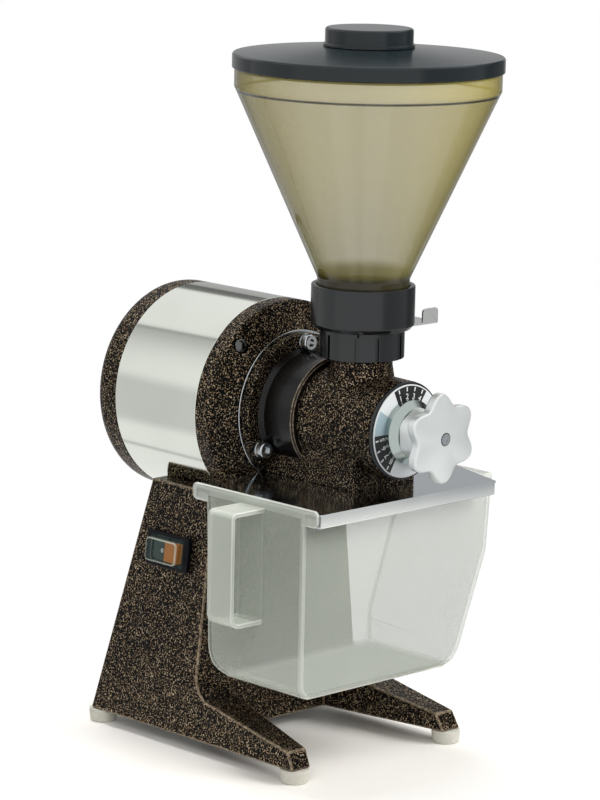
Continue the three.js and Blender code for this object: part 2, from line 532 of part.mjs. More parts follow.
// Motor: two end castings on a steel sleeve, with the working parts inside.
function addMotor() {
  const coneEnd = shieldFace + motor.coneDepth;
  const bandStart = coneEnd + motor.coneRim;
  const pocket = motor.bearingRadius + seatGap;
  const pocketEnd = frontBearing + motor.bearingWidth + seatGap;
  const rods = aroundAxle(tieRod.count, rodCircle, tieRod.firstAngle);
  const bolts = aroundAxle(bodyBolt.count, bodyBolt.circleRadius, bodyBolt.firstAngle);
  const spigotEnd = shieldRear + motor.spigotLength;
  const shieldBody = turnedAlongY([
    [head.shaftHoleRadius, shieldFace], [landRadius, shieldFace],
    [motor.radius - motor.coneRim, coneEnd], [motor.radius, bandStart], [motor.radius, shieldRear],
    [spigotRadius, shieldRear], [spigotRadius, spigotEnd], [spigotRadius - motor.spigotWall, spigotEnd],
    [spigotRadius - motor.spigotWall, bandStart + motor.faceThickness],
    [landRadius, shieldFace + motor.faceThickness],
    [pocket + motor.pocketWall, shieldFace + motor.faceThickness],
    [pocket + motor.pocketWall, pocketEnd], [pocket, pocketEnd], [pocket, frontBearing - seatGap],
    [head.shaftHoleRadius, frontBearing - seatGap],
  ]);
  const shieldCuts = [
    ...rods.map(([x, z]) => rodAlongY(tieRod.pocketRadius, shieldFace - cutOverrun, tieRod.headSeat, x, z)),
    ...rods.map(([x, z]) => rodAlongY(tieRod.radius + seatGap, shieldFace, spigotEnd, x, z)),
    ...bolts.map(([x, z]) => rodAlongY(bodyBolt.shankRadius + seatGap, shieldFace - cutOverrun,
      shieldFace + motor.faceThickness + cutOverrun, x, z)),
  ];
  addPiece('motor_front_shield', cut(shieldBody, ...shieldCuts), finish.hammered);

  const boltHoles = saddleBolt.places.map((y) => rodAlongZ(
    saddleBolt.radius + seatGap, axle.height - motor.radius - cutOverrun,
    axle.height - motor.radius + saddleBolt.reach, 0, y));
  addPiece('motor_sleeve', cut(tubeAlongY(sleeveBore, motor.radius, sleeveFront, sleeveRear), ...boltHoles),
    finish.steel);

  const bandEnd = capFront + motor.rearBand;
  const cornerCentre = motor.radius - motor.rearCorner;
  const innerCorner = motor.rearCorner - motor.rearWall;
  const capBody = turnedAlongY([
    [0, capRear], ...arc(cornerCentre, bandEnd, motor.rearCorner, 90, 0, 4), [motor.radius, capFront],
    [spigotRadius, capFront], [spigotRadius, capFront - motor.spigotLength],
    [spigotRadius - motor.spigotWall, capFront - motor.spigotLength],
    ...arc(cornerCentre, bandEnd, innerCorner, 0, 90, 3),
    [pocket + motor.pocketWall, capRear - motor.rearWall], [pocket + motor.pocketWall, rearBearing - seatGap],
    [pocket, rearBearing - seatGap], [pocket, rearPocketFloor], [0, rearPocketFloor],
  ]);
  const rodBosses = rods.map(([x, z]) => rodAlongY(
    tieRod.bossRadius, bandEnd - motor.rearWall * 2, capRear - motor.rearWall / 2, x, z));
  const vents = Array.from({ length: motor.ventCount }, (_, i) => block(
    motor.ventInner, motor.radius - motor.ventInset, capRear - motor.rearWall - cutOverrun, capRear + cutOverrun,
    -motor.ventWidth / 2, motor.ventWidth / 2)
    .rotateY(turn * (i + 1 / 2) / motor.ventCount).translate(0, 0, axle.height));
  const rodHoles = rods.map(([x, z]) => rodAlongY(
    tieRod.radius + seatGap, capFront, rodTip + seatGap, x, z));
  addPiece('motor_rear_cap', cut(join(capBody, ...rodBosses), ...vents, ...rodHoles), finish.hammered);

  const rodSeat = tieRod.headSeat - seatGap;
  const tieRods = rods.map(([x, z]) => turnedAlongY([
    [0, rodSeat - tieRod.headHeight], [tieRod.headRadius, rodSeat - tieRod.headHeight],
    [tieRod.headRadius, rodSeat], [tieRod.radius, rodSeat],
    [tieRod.radius, rodTip], [0, rodTip],
  ], slimSides, x, z));
  addSet('tie_rod', tieRods, finish.zinc);
  const plugRadius = tieRod.pocketRadius - seatGap;
  const faceAtRod = shieldFace + motor.coneDepth * (rodCircle - landRadius)
    / (motor.radius - motor.coneRim - landRadius);
  const plugRear = tieRod.headSeat - tieRod.headHeight - 2 * seatGap;
  const plugs = rods.map(([x, z]) => turnedAlongY([
    [0, faceAtRod - tieRod.plugRise], [plugRadius / 2, faceAtRod - tieRod.plugCrown],
    [plugRadius - tieRod.plugEdge, faceAtRod - tieRod.plugRise / 2], [plugRadius, faceAtRod],
    [plugRadius, plugRear], [0, plugRear],
  ], slimSides, x, z));
  addSet('shield_plug', plugs, finish.black);

  const statorBody = tubeAlongY(statorBore, statorRadius, stator.front, statorRear);
  const statorHoles = rods.map(([x, z]) => rodAlongY(
    tieRod.radius + seatGap, stator.front - cutOverrun, statorRear + cutOverrun, x, z));
  addPiece('stator_core', cut(statorBody, ...statorHoles, ...boltHoles), finish.iron);
  addPiece('winding_front', tubeAlongY(statorBore + winding.boreGap, windingRadius,
    stator.front - seatGap - winding.length, stator.front - seatGap, midSides), finish.copper);
  addPiece('winding_rear', tubeAlongY(statorBore + winding.boreGap, windingRadius,
    statorRear + seatGap, statorRear + seatGap + winding.length, midSides), finish.copper);
  const bearing = (front) => tubeAlongY(axle.radius + seatGap, motor.bearingRadius, front,
    front + motor.bearingWidth, midSides);
  addPiece('bearing_front', bearing(frontBearing), finish.steel);
  addPiece('bearing_rear', bearing(rearBearing), finish.steel);
}

// Everything that turns with the motor: shaft, rotor, fan, turning burr and feed screw.
function addRotatingParts() {
  const shaft = turnedAlongY([
    [0, axle.shoulder - axle.journalLength], [axle.journalRadius, axle.shoulder - axle.journalLength],
    [axle.journalRadius, axle.shoulder], [axle.radius, axle.shoulder], [axle.radius, shaftRear], [0, shaftRear],
  ], midSides);
  addPiece('motor_shaft', shaft, finish.steel);
  const bore = axle.radius + seatGap;
  addPiece('rotor_core', tubeAlongY(bore, statorBore - rotor.airGap, stator.front - rotor.overhang,
    statorRear + rotor.overhang, midSides), finish.iron);

  const fanFront = statorRear + seatGap + winding.length + 2 * fan.discThickness;
  const bladeRear = fanFront + fan.discThickness + fan.bladeHeight;
  const blades = Array.from({ length: fan.bladeCount }, (_, i) => block(
    fan.hubRadius - fan.bladeThickness, fanRadius, fanFront, bladeRear,
    -fan.bladeThickness / 2, fan.bladeThickness / 2)
    .rotateY(turn * i / fan.bladeCount).translate(0, 0, axle.height));
  const fanBody = join(
    tubeAlongY(bore, fanRadius, fanFront, fanFront + fan.discThickness, midSides),
    tubeAlongY(bore, fan.hubRadius, fanFront, bladeRear, midSides), ...blades);
  addPiece('cooling_fan', cut(fanBody, rodAlongY(
    bore, fanFront - cutOverrun, bladeRear + cutOverrun, 0, axle.height, midSides)), finish.black);

  const turningRear = turningBurrFront + burr.turningThickness;
  addPiece('turning_burr', turnedAlongY([
    [bore, turningBurrFront + burr.backCone], [burr.boreRadius, turningBurrFront + burr.backCone],
    [(burr.boreRadius + burr.radius) / 2, turningBurrFront], [burr.radius, turningBurrFront],
    [burr.radius, turningRear], [bore, turningRear],
  ], midSides), finish.iron);

  const flight = carrier.boreRadius - auger.flightGap;
  const section = new THREE.Shape(Array.from({ length: auger.points }, (_, i) => {
    const angle = turn * i / auger.points;
    const lobe = Math.max(0, Math.cos(angle)) ** 2;
    const radius = auger.hubRadius + (flight - auger.hubRadius) * lobe;
    return new THREE.Vector2(radius * Math.cos(angle), radius * Math.sin(angle));
  }));
  const augerRear = turningBurrFront + burr.backCone - seatGap;
  const augerLength = augerRear - auger.front;
  const screw = new THREE.ExtrudeGeometry(section, { depth: augerLength, steps: auger.steps, bevelEnabled: false });
  const places = screw.attributes.position;
  const place = new THREE.Vector3();
  for (let i = 0; i < places.count; i += 1) {
    place.fromBufferAttribute(places, i);
    place.applyAxisAngle(new THREE.Vector3(0, 0, 1), turn * auger.turns * place.z / augerLength);
    places.setXYZ(i, place.x, place.y, place.z);
  }
  screw.rotateX(-Math.PI / 2).translate(0, auger.front, axle.height);
  addPiece('feed_screw', cut(screw, rodAlongY(
    bore, auger.front - cutOverrun, augerRear + cutOverrun, 0, axle.height, midSides)), finish.steel);
}

// The burr holder slides in the barrel: the knob's spindle pushes it to set the grind.
function addGrindSetting() {
  const front = carrier.front;
  const wallRear = front + carrier.frontWall;
  const flangeRearPlace = flangeStart + carrier.flangeThickness;
  const holder = turnedAlongY([
    [axle.journalRadius + seatGap, front], [carrierRadius, front], [carrierRadius, flangeStart],
    [burr.radius, flangeStart], [burr.radius, flangeRearPlace], [carrier.boreRadius, flangeRearPlace],
    [carrier.boreRadius, wallRear], [axle.journalRadius + seatGap, wallRear],
  ], midSides);
  const feedWindow = rodAlongZ(
    carrier.feedHalfWidth, axle.height, axle.height + carrierRadius + cutOverrun, 0, 0, midSides);
  addPiece('burr_holder', cut(holder, feedWindow), finish.castAluminium);
  addPiece('fixed_burr', turnedAlongY([
    [carrier.boreRadius, fixedBurrFront], [burr.radius, fixedBurrFront],
    [burr.radius, fixedBurrFront + burr.fixedThickness],
    [(burr.boreRadius + burr.radius) / 2, fixedBurrFront + burr.fixedThickness],
    [carrier.boreRadius, fixedBurrFront + burr.fixedThickness - burr.backCone],
  ], midSides), finish.iron);

  const spindleFront = star.front + spindle.blindWall;
  addPiece('adjusting_spindle', turnedAlongY([
    [0, carrier.front - seatGap], [spindle.radius, carrier.front - seatGap], [spindle.radius, spindleFront],
    [spindle.screwHole, spindleFront], [spindle.screwHole, spindleFront + spindle.screwDepth],
    [0, spindleFront + spindle.screwDepth],
  ], slimSides), finish.steel);

  const hole = spindle.radius + seatGap;
  addPiece('index_collar', turnedAlongY([
    [hole, collarFront], [collarRing.radius - collarRing.chamfer, collarFront],
    [collarRing.radius, collarFront + collarRing.chamfer], [collarRing.radius, collarFront + collarRing.length],
    [hole, collarFront + collarRing.length],
  ]), finish.steel);

  const starShape = new THREE.Shape(Array.from({ length: star.points }, (_, i) => {
    const angle = turn * i / star.points;
    const radius = star.meanRadius + star.lobeSwing * Math.cos(star.lobes * (angle - star.firstLobe * degree));
    return new THREE.Vector2(radius * Math.cos(angle), radius * Math.sin(angle));
  }));
  const disc = new THREE.ExtrudeGeometry(starShape, {
    depth: star.thickness - 2 * star.edge, bevelEnabled: true, bevelThickness: star.edge, bevelSize: star.edge,
    bevelOffset: -star.edge, bevelSegments: 1,
  }).rotateX(Math.PI / 2).translate(0, starRear - star.edge, axle.height);
  const hubRear = collarFront - seatGap;
  const hub = turnedAlongY([
    [0, hubRear], [star.hubRadius, hubRear], [star.hubFrontRadius, starRear + star.edge], [0, starRear - star.edge],
  ], midSides);
  const knob = cut(join(disc, hub),
    rodAlongY(hole, spindleFront - seatGap, hubRear + cutOverrun),
    rodAlongY(spindle.screwHole, star.front, hubRear),
    rodAlongY(star.recessRadius, star.front - cutOverrun, star.front + star.recessDepth));
  addPiece('star_knob', knob, finish.castAluminium);

  const headRear = star.front + star.recessDepth - seatGap;
  const screwFront = headRear - knobScrew.headHeight;
  addPiece('knob_screw', cut(turnedAlongY([
    [0, screwFront], [knobScrew.headRadius, screwFront],
    [knobScrew.headRadius, headRear], [knobScrew.shankRadius, headRear],
    [knobScrew.shankRadius, headRear + spindle.blindWall + knobScrew.shankLength - star.recessDepth],
    [0, headRear + spindle.blindWall + knobScrew.shankLength - star.recessDepth],
  ], slimSides), turnedAlongY([
    [0, screwFront - cutOverrun], [knobScrew.socketRadius, screwFront - cutOverrun],
    [knobScrew.socketRadius, screwFront + knobScrew.headHeight / 2], [0, screwFront + knobScrew.headHeight / 2],
  ], 6)), finish.zinc);
}

// Grinding head: flange, burr drum, barrel, feed neck and pedestal in one casting, with its front cover.
function addHead() {
  const bolts = aroundAxle(bodyBolt.count, bodyBolt.circleRadius, bodyBolt.firstAngle);
  const flangeDisc = rodAlongY(head.flangeRadius, head.flangeFront, flangeRear, 0, axle.height, wideSides);
  const level = pedestalBottom + head.flangeLift;
  const trimmed = cut(flangeDisc, block(-head.flangeRadius, head.flangeRadius, head.flangeFront - cutOverrun,
    flangeRear + cutOverrun, axle.height - head.flangeRadius - cutOverrun, level));
  const trunk = turnedAlongY([
    [0, head.barrelFront], [head.barrelFrontRadius, head.barrelFront], [head.barrelRearRadius, head.drumFront],
    [head.drumRadius, head.drumFront], [head.drumRadius, flangeRear - seatGap], [0, flangeRear - seatGap],
  ]);
  const neck = rodAlongZ(head.neckRadius, axle.height, neckTop, 0, 0, midSides);
  const pedestal = block(-head.pedestalWidth / 2, head.pedestalWidth / 2, head.pedestalFront,
    flangeRear - seatGap, pedestalBottom, axle.height - head.throatRadius);
  const plateScrewHoles = plateScrewPlaces().map(([x, y]) => rodAlongZ(
    plate.screwRadius + seatGap, pedestalBottom - cutOverrun, pedestalBottom + plate.screwReach, x, y));
  const casting = cut(join(trimmed, trunk, neck, pedestal),
    rodAlongY(
      head.boreRadius, head.barrelFront - cutOverrun, head.chamberFront + cutOverrun, 0, axle.height, midSides),
    rodAlongY(head.chamberRadius, head.chamberFront, head.chamberRear, 0, axle.height, midSides),
    rodAlongY(
      head.shaftHoleRadius, head.chamberRear - cutOverrun, flangeRear + cutOverrun, 0, axle.height, midSides),
    rodAlongZ(head.throatRadius, axle.height, neckTop + cutOverrun, 0, 0, midSides),
    block(-head.outletWidth / 2, head.outletWidth / 2, head.outletFront, head.outletRear,
      pedestalBottom - cutOverrun, axle.height - head.throatRadius),
    ...bolts.map(([x, z]) => rodAlongY(bodyBolt.shankRadius + seatGap, head.flangeFront - cutOverrun,
      flangeRear + cutOverrun, x, z)),
    ...plateScrewHoles);
  addPiece('grinder_body', casting, finish.hammered);

  const ring = tubeAlongY(clampRing.innerRadius, clampRing.outerRadius, flangeRear + seatGap, ringRear);
  addPiece('clamp_ring', cut(ring, ...bolts.map(([x, z]) => rodAlongY(
    bodyBolt.shankRadius + seatGap, flangeRear, ringRear + cutOverrun, x, z))), finish.steel);

  const washerFront = head.flangeFront - seatGap - bodyBolt.washerThickness;
  const headFront = washerFront - bodyBolt.headHeight;
  const bodyBolts = bolts.map(([x, z]) => cut(turnedAlongY([
    [0, headFront], [bodyBolt.headRadius - bodyBolt.headEdge, headFront],
    [bodyBolt.headRadius, headFront + bodyBolt.headEdge],
    [bodyBolt.headRadius, washerFront], [bodyBolt.washerRadius, washerFront],
    [bodyBolt.washerRadius, head.flangeFront - seatGap], [bodyBolt.shankRadius, head.flangeFront - seatGap],
    [bodyBolt.shankRadius, head.flangeFront + bodyBolt.shankReach], [0, head.flangeFront + bodyBolt.shankReach],
  ], slimSides, x, z), turnedAlongY([
    [0, headFront - cutOverrun], [bodyBolt.socketRadius, headFront - cutOverrun],
    [bodyBolt.socketRadius, headFront + bodyBolt.socketDepth], [0, headFront + bodyBolt.socketDepth],
  ], 6, x, z)));
  addSet('body_bolt', bodyBolts, finish.zinc);
  addPiece('shaft_seal', tubeAlongY(
    axle.radius + seatGap, head.shaftHoleRadius - seatGap, seal.rear - seal.length, seal.rear, midSides),
  finish.rubber);

  const hole = spindle.radius + seatGap;
  addPiece('barrel_cover', turnedAlongY([
    [hole, coverFront], [cover.radius, coverFront], [cover.radius, head.barrelFront - seatGap],
    [carrierRadius, head.barrelFront - seatGap], [carrierRadius, head.barrelFront + cover.spigotLength],
    [hole, head.barrelFront + cover.spigotLength],
  ], midSides), finish.castAluminium);
  addPiece('dial_plate', tubeAlongY(hole, dial.radius, dialFront, coverFront - seatGap), finish.white);
}

function plateScrewPlaces() {
  return [[-plate.screwSpread / 2, plate.screwPlace], [plate.screwSpread / 2, plate.screwPlace]];
}

// Mirror plate: its front and rear edges are folded under into channels that carry the drawer.
function addTopPlate() {
  const middle = (plate.frontEdge + plate.rearEdge) / 2;
  const sheet = prismZ([
    [plate.left, plate.frontEdge], [plate.rightCorner, plate.frontEdge], [plate.apex, middle - plate.apexHalf],
    [plate.apex, middle + plate.apexHalf], [plate.rightCorner, plate.rearEdge], [plate.left, plate.rearEdge],
  ], plateUnder, sheetTop);
  const foldBottom = sheetTop - plate.foldHeight;
  const fold = (edge, inward) => {
    const wall = [edge, edge + inward * plate.sheet].sort((a, b) => a - b);
    const lip = [edge, edge + inward * plate.lip].sort((a, b) => a - b);
    return [
      block(plate.left, plate.rightCorner, wall[0], wall[1], foldBottom, sheetTop),
      block(plate.left, plate.rightCorner, lip[0], lip[1], foldBottom, foldBottom + plate.sheet),
    ];
  };
  const outlet = block(-head.outletWidth / 2 - plate.outletMargin, head.outletWidth / 2 + plate.outletMargin,
    head.outletFront - plate.outletMargin, head.outletRear + plate.outletMargin,
    plateUnder - cutOverrun, sheetTop + cutOverrun);
  const holes = plateScrewPlaces().map(([x, y]) => turnedAlongZ([
    [0, plateUnder - cutOverrun], [plate.screwHeadRadius + seatGap, plateUnder - cutOverrun],
    [plate.screwHeadRadius + seatGap, plateUnder], [plate.screwRadius + seatGap, sheetTop],
    [plate.screwRadius + seatGap, sheetTop + cutOverrun], [0, sheetTop + cutOverrun],
  ], slimSides, x, y));
  const folded = join(sheet, ...fold(plate.frontEdge, 1), ...fold(plate.rearEdge, -1));
  addPiece('drawer_plate', cut(folded, outlet, ...holes), finish.steel);
  const tip = pedestalBottom + plate.screwReach - seatGap;
  addSet('plate_screw', plateScrewPlaces().map(([x, y]) => turnedAlongZ([
    [0, plateUnder], [plate.screwHeadRadius, plateUnder], [plate.screwRadius, sheetTop],
    [plate.screwRadius, tip], [0, tip],
  ], slimSides, x, y)), finish.zinc);
}

// Drawer hollow or outside: every wall is drawn in by the same inset.
function drawerBlank(inset, leftInset, top) {
  const rearAt = (z) => tray.rearWall - inset - tray.rearDraft * (plateUnder - z) / (plateUnder - trayBottom);
  const floor = trayBottom + inset;
  const filletTop = floor + tray.rearFillet - inset;
  const front = tray.frontWall + inset;
  const rearRadius = tray.rearFillet - inset;
  const frontRadius = Math.max(tray.frontFillet - inset, seatGap);
  const section = [
    ...arc(front + frontRadius, floor + frontRadius, frontRadius, 180, 270, 2),
    ...arc(rearAt(filletTop) - rearRadius, floor + rearRadius, rearRadius, 270, 360, 6),
    [rearAt(top), top], [front, top],
  ];
  const shift = inset * Math.hypot(1, tray.pourSlope);
  const pourAt = (z) => tray.pourReach - shift + tray.pourSlope * (z - pourLevel);
  const lean = Math.atan(tray.pourSlope) / degree;
  const pourRadius = tray.pourFillet - inset;
  const centreX = pourAt(floor + pourRadius) - pourRadius * Math.hypot(1, tray.pourSlope);
  const left = tray.left + leftInset;
  const leftRadius = Math.max(tray.leftFillet - leftInset, seatGap);
  const side = [
    ...arc(left + leftRadius, floor + leftRadius, leftRadius, 180, 270, 2),
    ...arc(centreX, floor + pourRadius, pourRadius, 270, 360 - lean, 5),
    [pourAt(top), top], [left, top],
  ];
  const blank = meet(
    prismX(section, tray.left - cutOverrun, pourAt(top) + cutOverrun),
    prismY(side, tray.frontWall - cutOverrun, tray.rearWall + cutOverrun));
  return cut(blank, ...spoutCuts(inset, top));
}

// The two top corners of the pouring end are cut off on the slant, which narrows it to a spout.
function spoutCuts(inset, top) {
  const endTop = tray.pourReach + tray.pourSlope * (plateUnder - pourLevel);
  const corners = (side) => {
    const wallY = side < 0 ? tray.frontWall : tray.rearWall;
    const start = new THREE.Vector3(tray.spoutStart, wallY, plateUnder);
    const end = new THREE.Vector3(endTop, side * tray.spoutEndHalf, plateUnder);
    const low = new THREE.Vector3(tray.pourReach + tray.pourSlope * (spoutLow - pourLevel), wallY, spoutLow);
    const along = end.clone().sub(start).normalize();
    const outward = along.clone().cross(low.clone().sub(start)).normalize();
    if (outward.y * side < 0) outward.negate();
    const size = sheetTop;
    const up = outward.clone().cross(along);
    const tool = new THREE.BoxGeometry(size, size, size).translate(0, 0, size / 2);
    tool.applyMatrix4(new THREE.Matrix4().makeBasis(along, up.clone().negate(), outward));
    const shift = start.clone().addScaledVector(outward, -inset);
    return tool.translate(shift.x, shift.y, shift.z);
  };
  return [corners(-1), corners(1)];
}

function addDrawer() {
  const top = plateUnder - tray.topGap;
  const shell = cut(drawerBlank(0, 0, top), drawerBlank(tray.wall, tray.leftWall, top + cutOverrun));
  const rimEnd = tray.left + tray.leftWall / 2;
  const frontRim = plate.frontEdge + plate.sheet + tray.rimGap;
  const rearRim = plate.rearEdge - plate.sheet - tray.rimGap;
  const rims = [
    block(rimEnd, tray.spoutStart, frontRim, tray.frontWall + tray.wall / 2, top - tray.rimThickness, top),
    block(rimEnd, tray.spoutStart, frontRim, frontRim + tray.rimLip, top - tray.rimDrop, top),
    block(rimEnd, tray.spoutStart, tray.rearWall - tray.wall / 2, rearRim, top - tray.rimThickness, top),
    block(rimEnd, tray.spoutStart, rearRim - tray.rimLip, rearRim, top - tray.rimDrop, top),
  ];
  const capRight = tray.left + tray.leftWall;
  const capFrontEdge = plate.frontEdge + tray.rimGap;
  const capRearEdge = plate.rearEdge - tray.rimGap;
  const capHeight = endCapTop - endCapBottom;
  const bead = capHeight / 2 - tray.capBead;
  const capOutline = [
    ...arc(capFrontEdge + bead, endCapBottom + bead, bead, 180, 270, 4),
    ...arc(capRearEdge - bead, endCapBottom + bead, bead, 270, 360, 4),
    ...arc(capRearEdge - bead, endCapTop - bead, bead, 0, 90, 4),
    ...arc(capFrontEdge + bead, endCapTop - bead, bead, 90, 180, 4),
  ];
  const cap = prismX(capOutline, tray.left, capRight);
  const outerX = tray.left - grip.reach;
  const innerX = outerX + grip.sheet;
  const loop = prismY([
    [tray.left + tray.leftWall / 2, gripBottom], [tray.left + tray.leftWall / 2, gripTop],
    ...arc(outerX + grip.cornerRadius / 2, gripTop - grip.cornerRadius / 2, grip.cornerRadius / 2, 90, 180, 3),
    ...arc(outerX + grip.cornerRadius, gripBottom + grip.cornerRadius, grip.cornerRadius, 180, 270, 4),
  ], grip.front, grip.rear);
  const fingerGap = prismY([
    [tray.left, gripBottom + grip.sheet], [tray.left, gripTop - grip.sheet],
    [innerX, gripTop - grip.sheet],
    ...arc(
      innerX + grip.innerRadius, gripBottom + grip.sheet + grip.innerRadius, grip.innerRadius, 180, 270, 3),
  ], grip.front - cutOverrun, grip.rear + cutOverrun);
  const ribs = [grip.front, grip.rear - grip.ribWidth].map((y) => block(
    tray.left - grip.ribRise, tray.left + tray.leftWall / 2, y, y + grip.ribWidth,
    gripBottom - grip.ribTail, endCapBottom + bead));
  addPiece('drawer', join(shell, ...rims, cap, cut(loop, fingerGap), ...ribs), finish.clear);
}

// Hopper mount: a ribbed ring on the neck, the gate that closes the throat, and the cup over it.
function addHopperMount() {
  const ringBody = turnedAlongZ([
    [head.neckRadius + seatGap, ribbedBottom], [ribbed.radius, ribbedBottom], [ribbed.radius, ribbedTop],
    [head.throatRadius, ribbedTop], [head.throatRadius, neckTop + seatGap],
    [head.neckRadius + seatGap, neckTop + seatGap],
  ]);
  const slots = Array.from({ length: ribbed.slotCount }, (_, i) => {
    const pair = Math.floor(i / 2);
    const share = i % 2 === 0 ? 0 : ribbed.wideShare;
    const angle = (pair + share) * 2 * turn / ribbed.slotCount + ribbed.firstSlot * degree;
    return block(ribbed.radius - ribbed.slotDepth, ribbed.radius + cutOverrun, -ribbed.slotWidth / 2,
      ribbed.slotWidth / 2, ribbedBottom - cutOverrun, ribbedTop - ribbed.seatLip).rotateZ(angle);
  });
  addPiece('ribbed_ring', cut(ringBody, ...slots), finish.black);

  const chamferTop = cupBottom + cup.chamfer;
  const cupBody = turnedAlongZ([
    [cup.openingRadius, cupBottom], [cup.chamferRadius, cupBottom], [cup.radius, chamferTop],
    [cup.radius, cupTop - cup.rimEdge], [cup.radius - cup.rimEdge, cupTop], [cup.bore, cupTop],
    [cup.bore, cupFloor], [cup.openingRadius, cupFloor],
  ]);
  const slotBottom = gateBottom - gate.slotGap;
  const slotTop = gateBottom + gate.thickness + gate.slotGap;
  const gateSlot = block(-gate.front - gate.slotGap, cup.radius + cutOverrun, -gate.halfWidth - gate.slotGap,
    gate.halfWidth + gate.slotGap, slotBottom, slotTop);
  addPiece('hopper_cup', cut(cupBody, gateSlot), finish.black);

  const corner = gate.halfWidth;
  const roundEnd = arc(-gate.front + corner, 0, corner, 90, 270, gate.roundPoints);
  const blade = prismZ(
    [...roundEnd, [gate.reach, -corner], [gate.reach, corner]], gateBottom, gateBottom + gate.thickness);
  const earTop = gateBottom + gate.earHeight;
  const earStart = gate.reach - gate.earLength;
  const ear = prismY([
    [earStart, gateBottom], [gate.reach, gateBottom],
    ...arc(gate.reach - gate.earRadius, earTop - gate.earRadius, gate.earRadius, 0, 90, 3),
    ...arc(earStart + gate.earRadius, earTop - gate.earRadius, gate.earRadius, 90, 180, 3),
  ], -corner, -corner + gate.thickness);
  addPiece('gate_plate', join(blade, ear), finish.zinc);
}

function addHopper() {
  const slope = (hopper.coneRadius - hopper.spigotRadius) / (coneTop - spigotTop);
  const thick = hopper.wall * Math.hypot(1, slope);
  const inner = (radius) => radius - hopper.wall;
  const coneInner = hopper.coneRadius - thick;
  const spigotInner = hopper.spigotRadius - thick;
  const floorTop = hopperBottom + hopper.wall;
  addPiece('hopper_cone', turnedAlongZ([
    [hopper.outletRadius, hopperBottom], [hopper.spigotRadius, hopperBottom],
    [hopper.spigotRadius, spigotTop], [hopper.coneRadius, coneTop],
    [hopper.bandRadius, coneTop + hopper.wall], [hopper.bandRadius, hopperTop],
    [inner(hopper.bandRadius), hopperTop], [inner(hopper.bandRadius), coneTop + 2 * hopper.wall],
    [coneInner, coneTop], [spigotInner, spigotTop], [spigotInner, floorTop],
    [hopper.outletRadius, floorTop],
  ]), finish.smoked);

  const guardRadius = spigotInner - seatGap;
  const ring = turnedAlongZ([
    [guardRadius - guard.ringWall, guardBottom], [guardRadius, guardBottom],
    [guardRadius, guardBottom + guard.height],
    [guardRadius - guard.ringWall, guardBottom + guard.height],
  ], midSides);
  const bars = Array.from({ length: guard.barCount }, (_, i) => block(
    -guardRadius + guard.ringWall / 2, guardRadius - guard.ringWall / 2, -guard.barWidth / 2, guard.barWidth / 2,
    guardBottom, guardBottom + guard.height).rotateZ(turn * i / guard.barCount / 2));
  addPiece('finger_guard', join(ring, ...bars), finish.black);
}

function addLid() {
  const skirtOuter = hopper.bandRadius - hopper.wall - lid.skirtGap;
  const skirtInner = skirtOuter - lid.skirtWall;
  const under = lidShoulder - lid.sheet;
  addPiece('hopper_lid', turnedAlongZ([
    [lid.screwHole, lidCrown], [lidKnob.footRadius, lidCrown], [lid.rimRadius - lid.edge, lidShoulder],
    [lid.rimRadius, lidShoulder - lid.edge], [lid.rimRadius, lidBottom], [skirtOuter, lidBottom],
    [skirtOuter, skirtBottom], [skirtInner, skirtBottom], [skirtInner, under],
    [lidKnob.footRadius, lidCrown - lid.sheet], [lid.screwHole, lidCrown - lid.sheet],
  ]), finish.black);

  const foot = lidCrown + seatGap;
  const footTop = foot + lidKnob.footHeight;
  const ceiling = knobTop - lidKnob.wall;
  addPiece('lid_knob', turnedAlongZ([
    [0, knobTop], [lidKnob.radius - lidKnob.edge, knobTop], [lidKnob.radius, knobTop - lidKnob.edge],
    [lidKnob.radius, footTop], [lidKnob.footRadius, footTop], [lidKnob.footRadius, foot],
    [lidKnob.radius - lidKnob.wall, foot], [lidKnob.radius - lidKnob.wall, ceiling], [lidKnob.bossRadius, ceiling],
    [lidKnob.bossRadius, foot], [lidKnob.holeRadius, foot], [lidKnob.holeRadius, foot + lidKnob.screwReach],
    [0, foot + lidKnob.screwReach],
  ]), finish.black);
  const seat = lidCrown - lid.sheet - seatGap;
  addPiece('lid_screw', turnedAlongZ([
    [0, seat - lidKnob.screwHeadHeight], [lidKnob.screwHeadRadius, seat - lidKnob.screwHeadHeight],
    [lidKnob.screwHeadRadius, seat], [lidKnob.screwRadius, seat],
    [lidKnob.screwRadius, foot + lidKnob.screwReach - seatGap], [0, foot + lidKnob.screwReach - seatGap],
  ], slimSides), finish.zinc);
}

addStand();
addCordInlet();
addSwitch();
addMotor();
addRotatingParts();
addGrindSetting();
addHead();
addTopPlate();
addDrawer();
addHopperMount();
addHopper();
addLid();

// The object stands on the floor with the middle of its footprint at the origin.
const reach = new THREE.Box3().setFromObject(grinder);
grinder.position.set(-(reach.min.x + reach.max.x) / 2, -(reach.min.y + reach.max.y) / 2, -reach.min.z);

export default grinder;
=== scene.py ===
import math

import bmesh
import bpy
from mathutils import Matrix, Vector


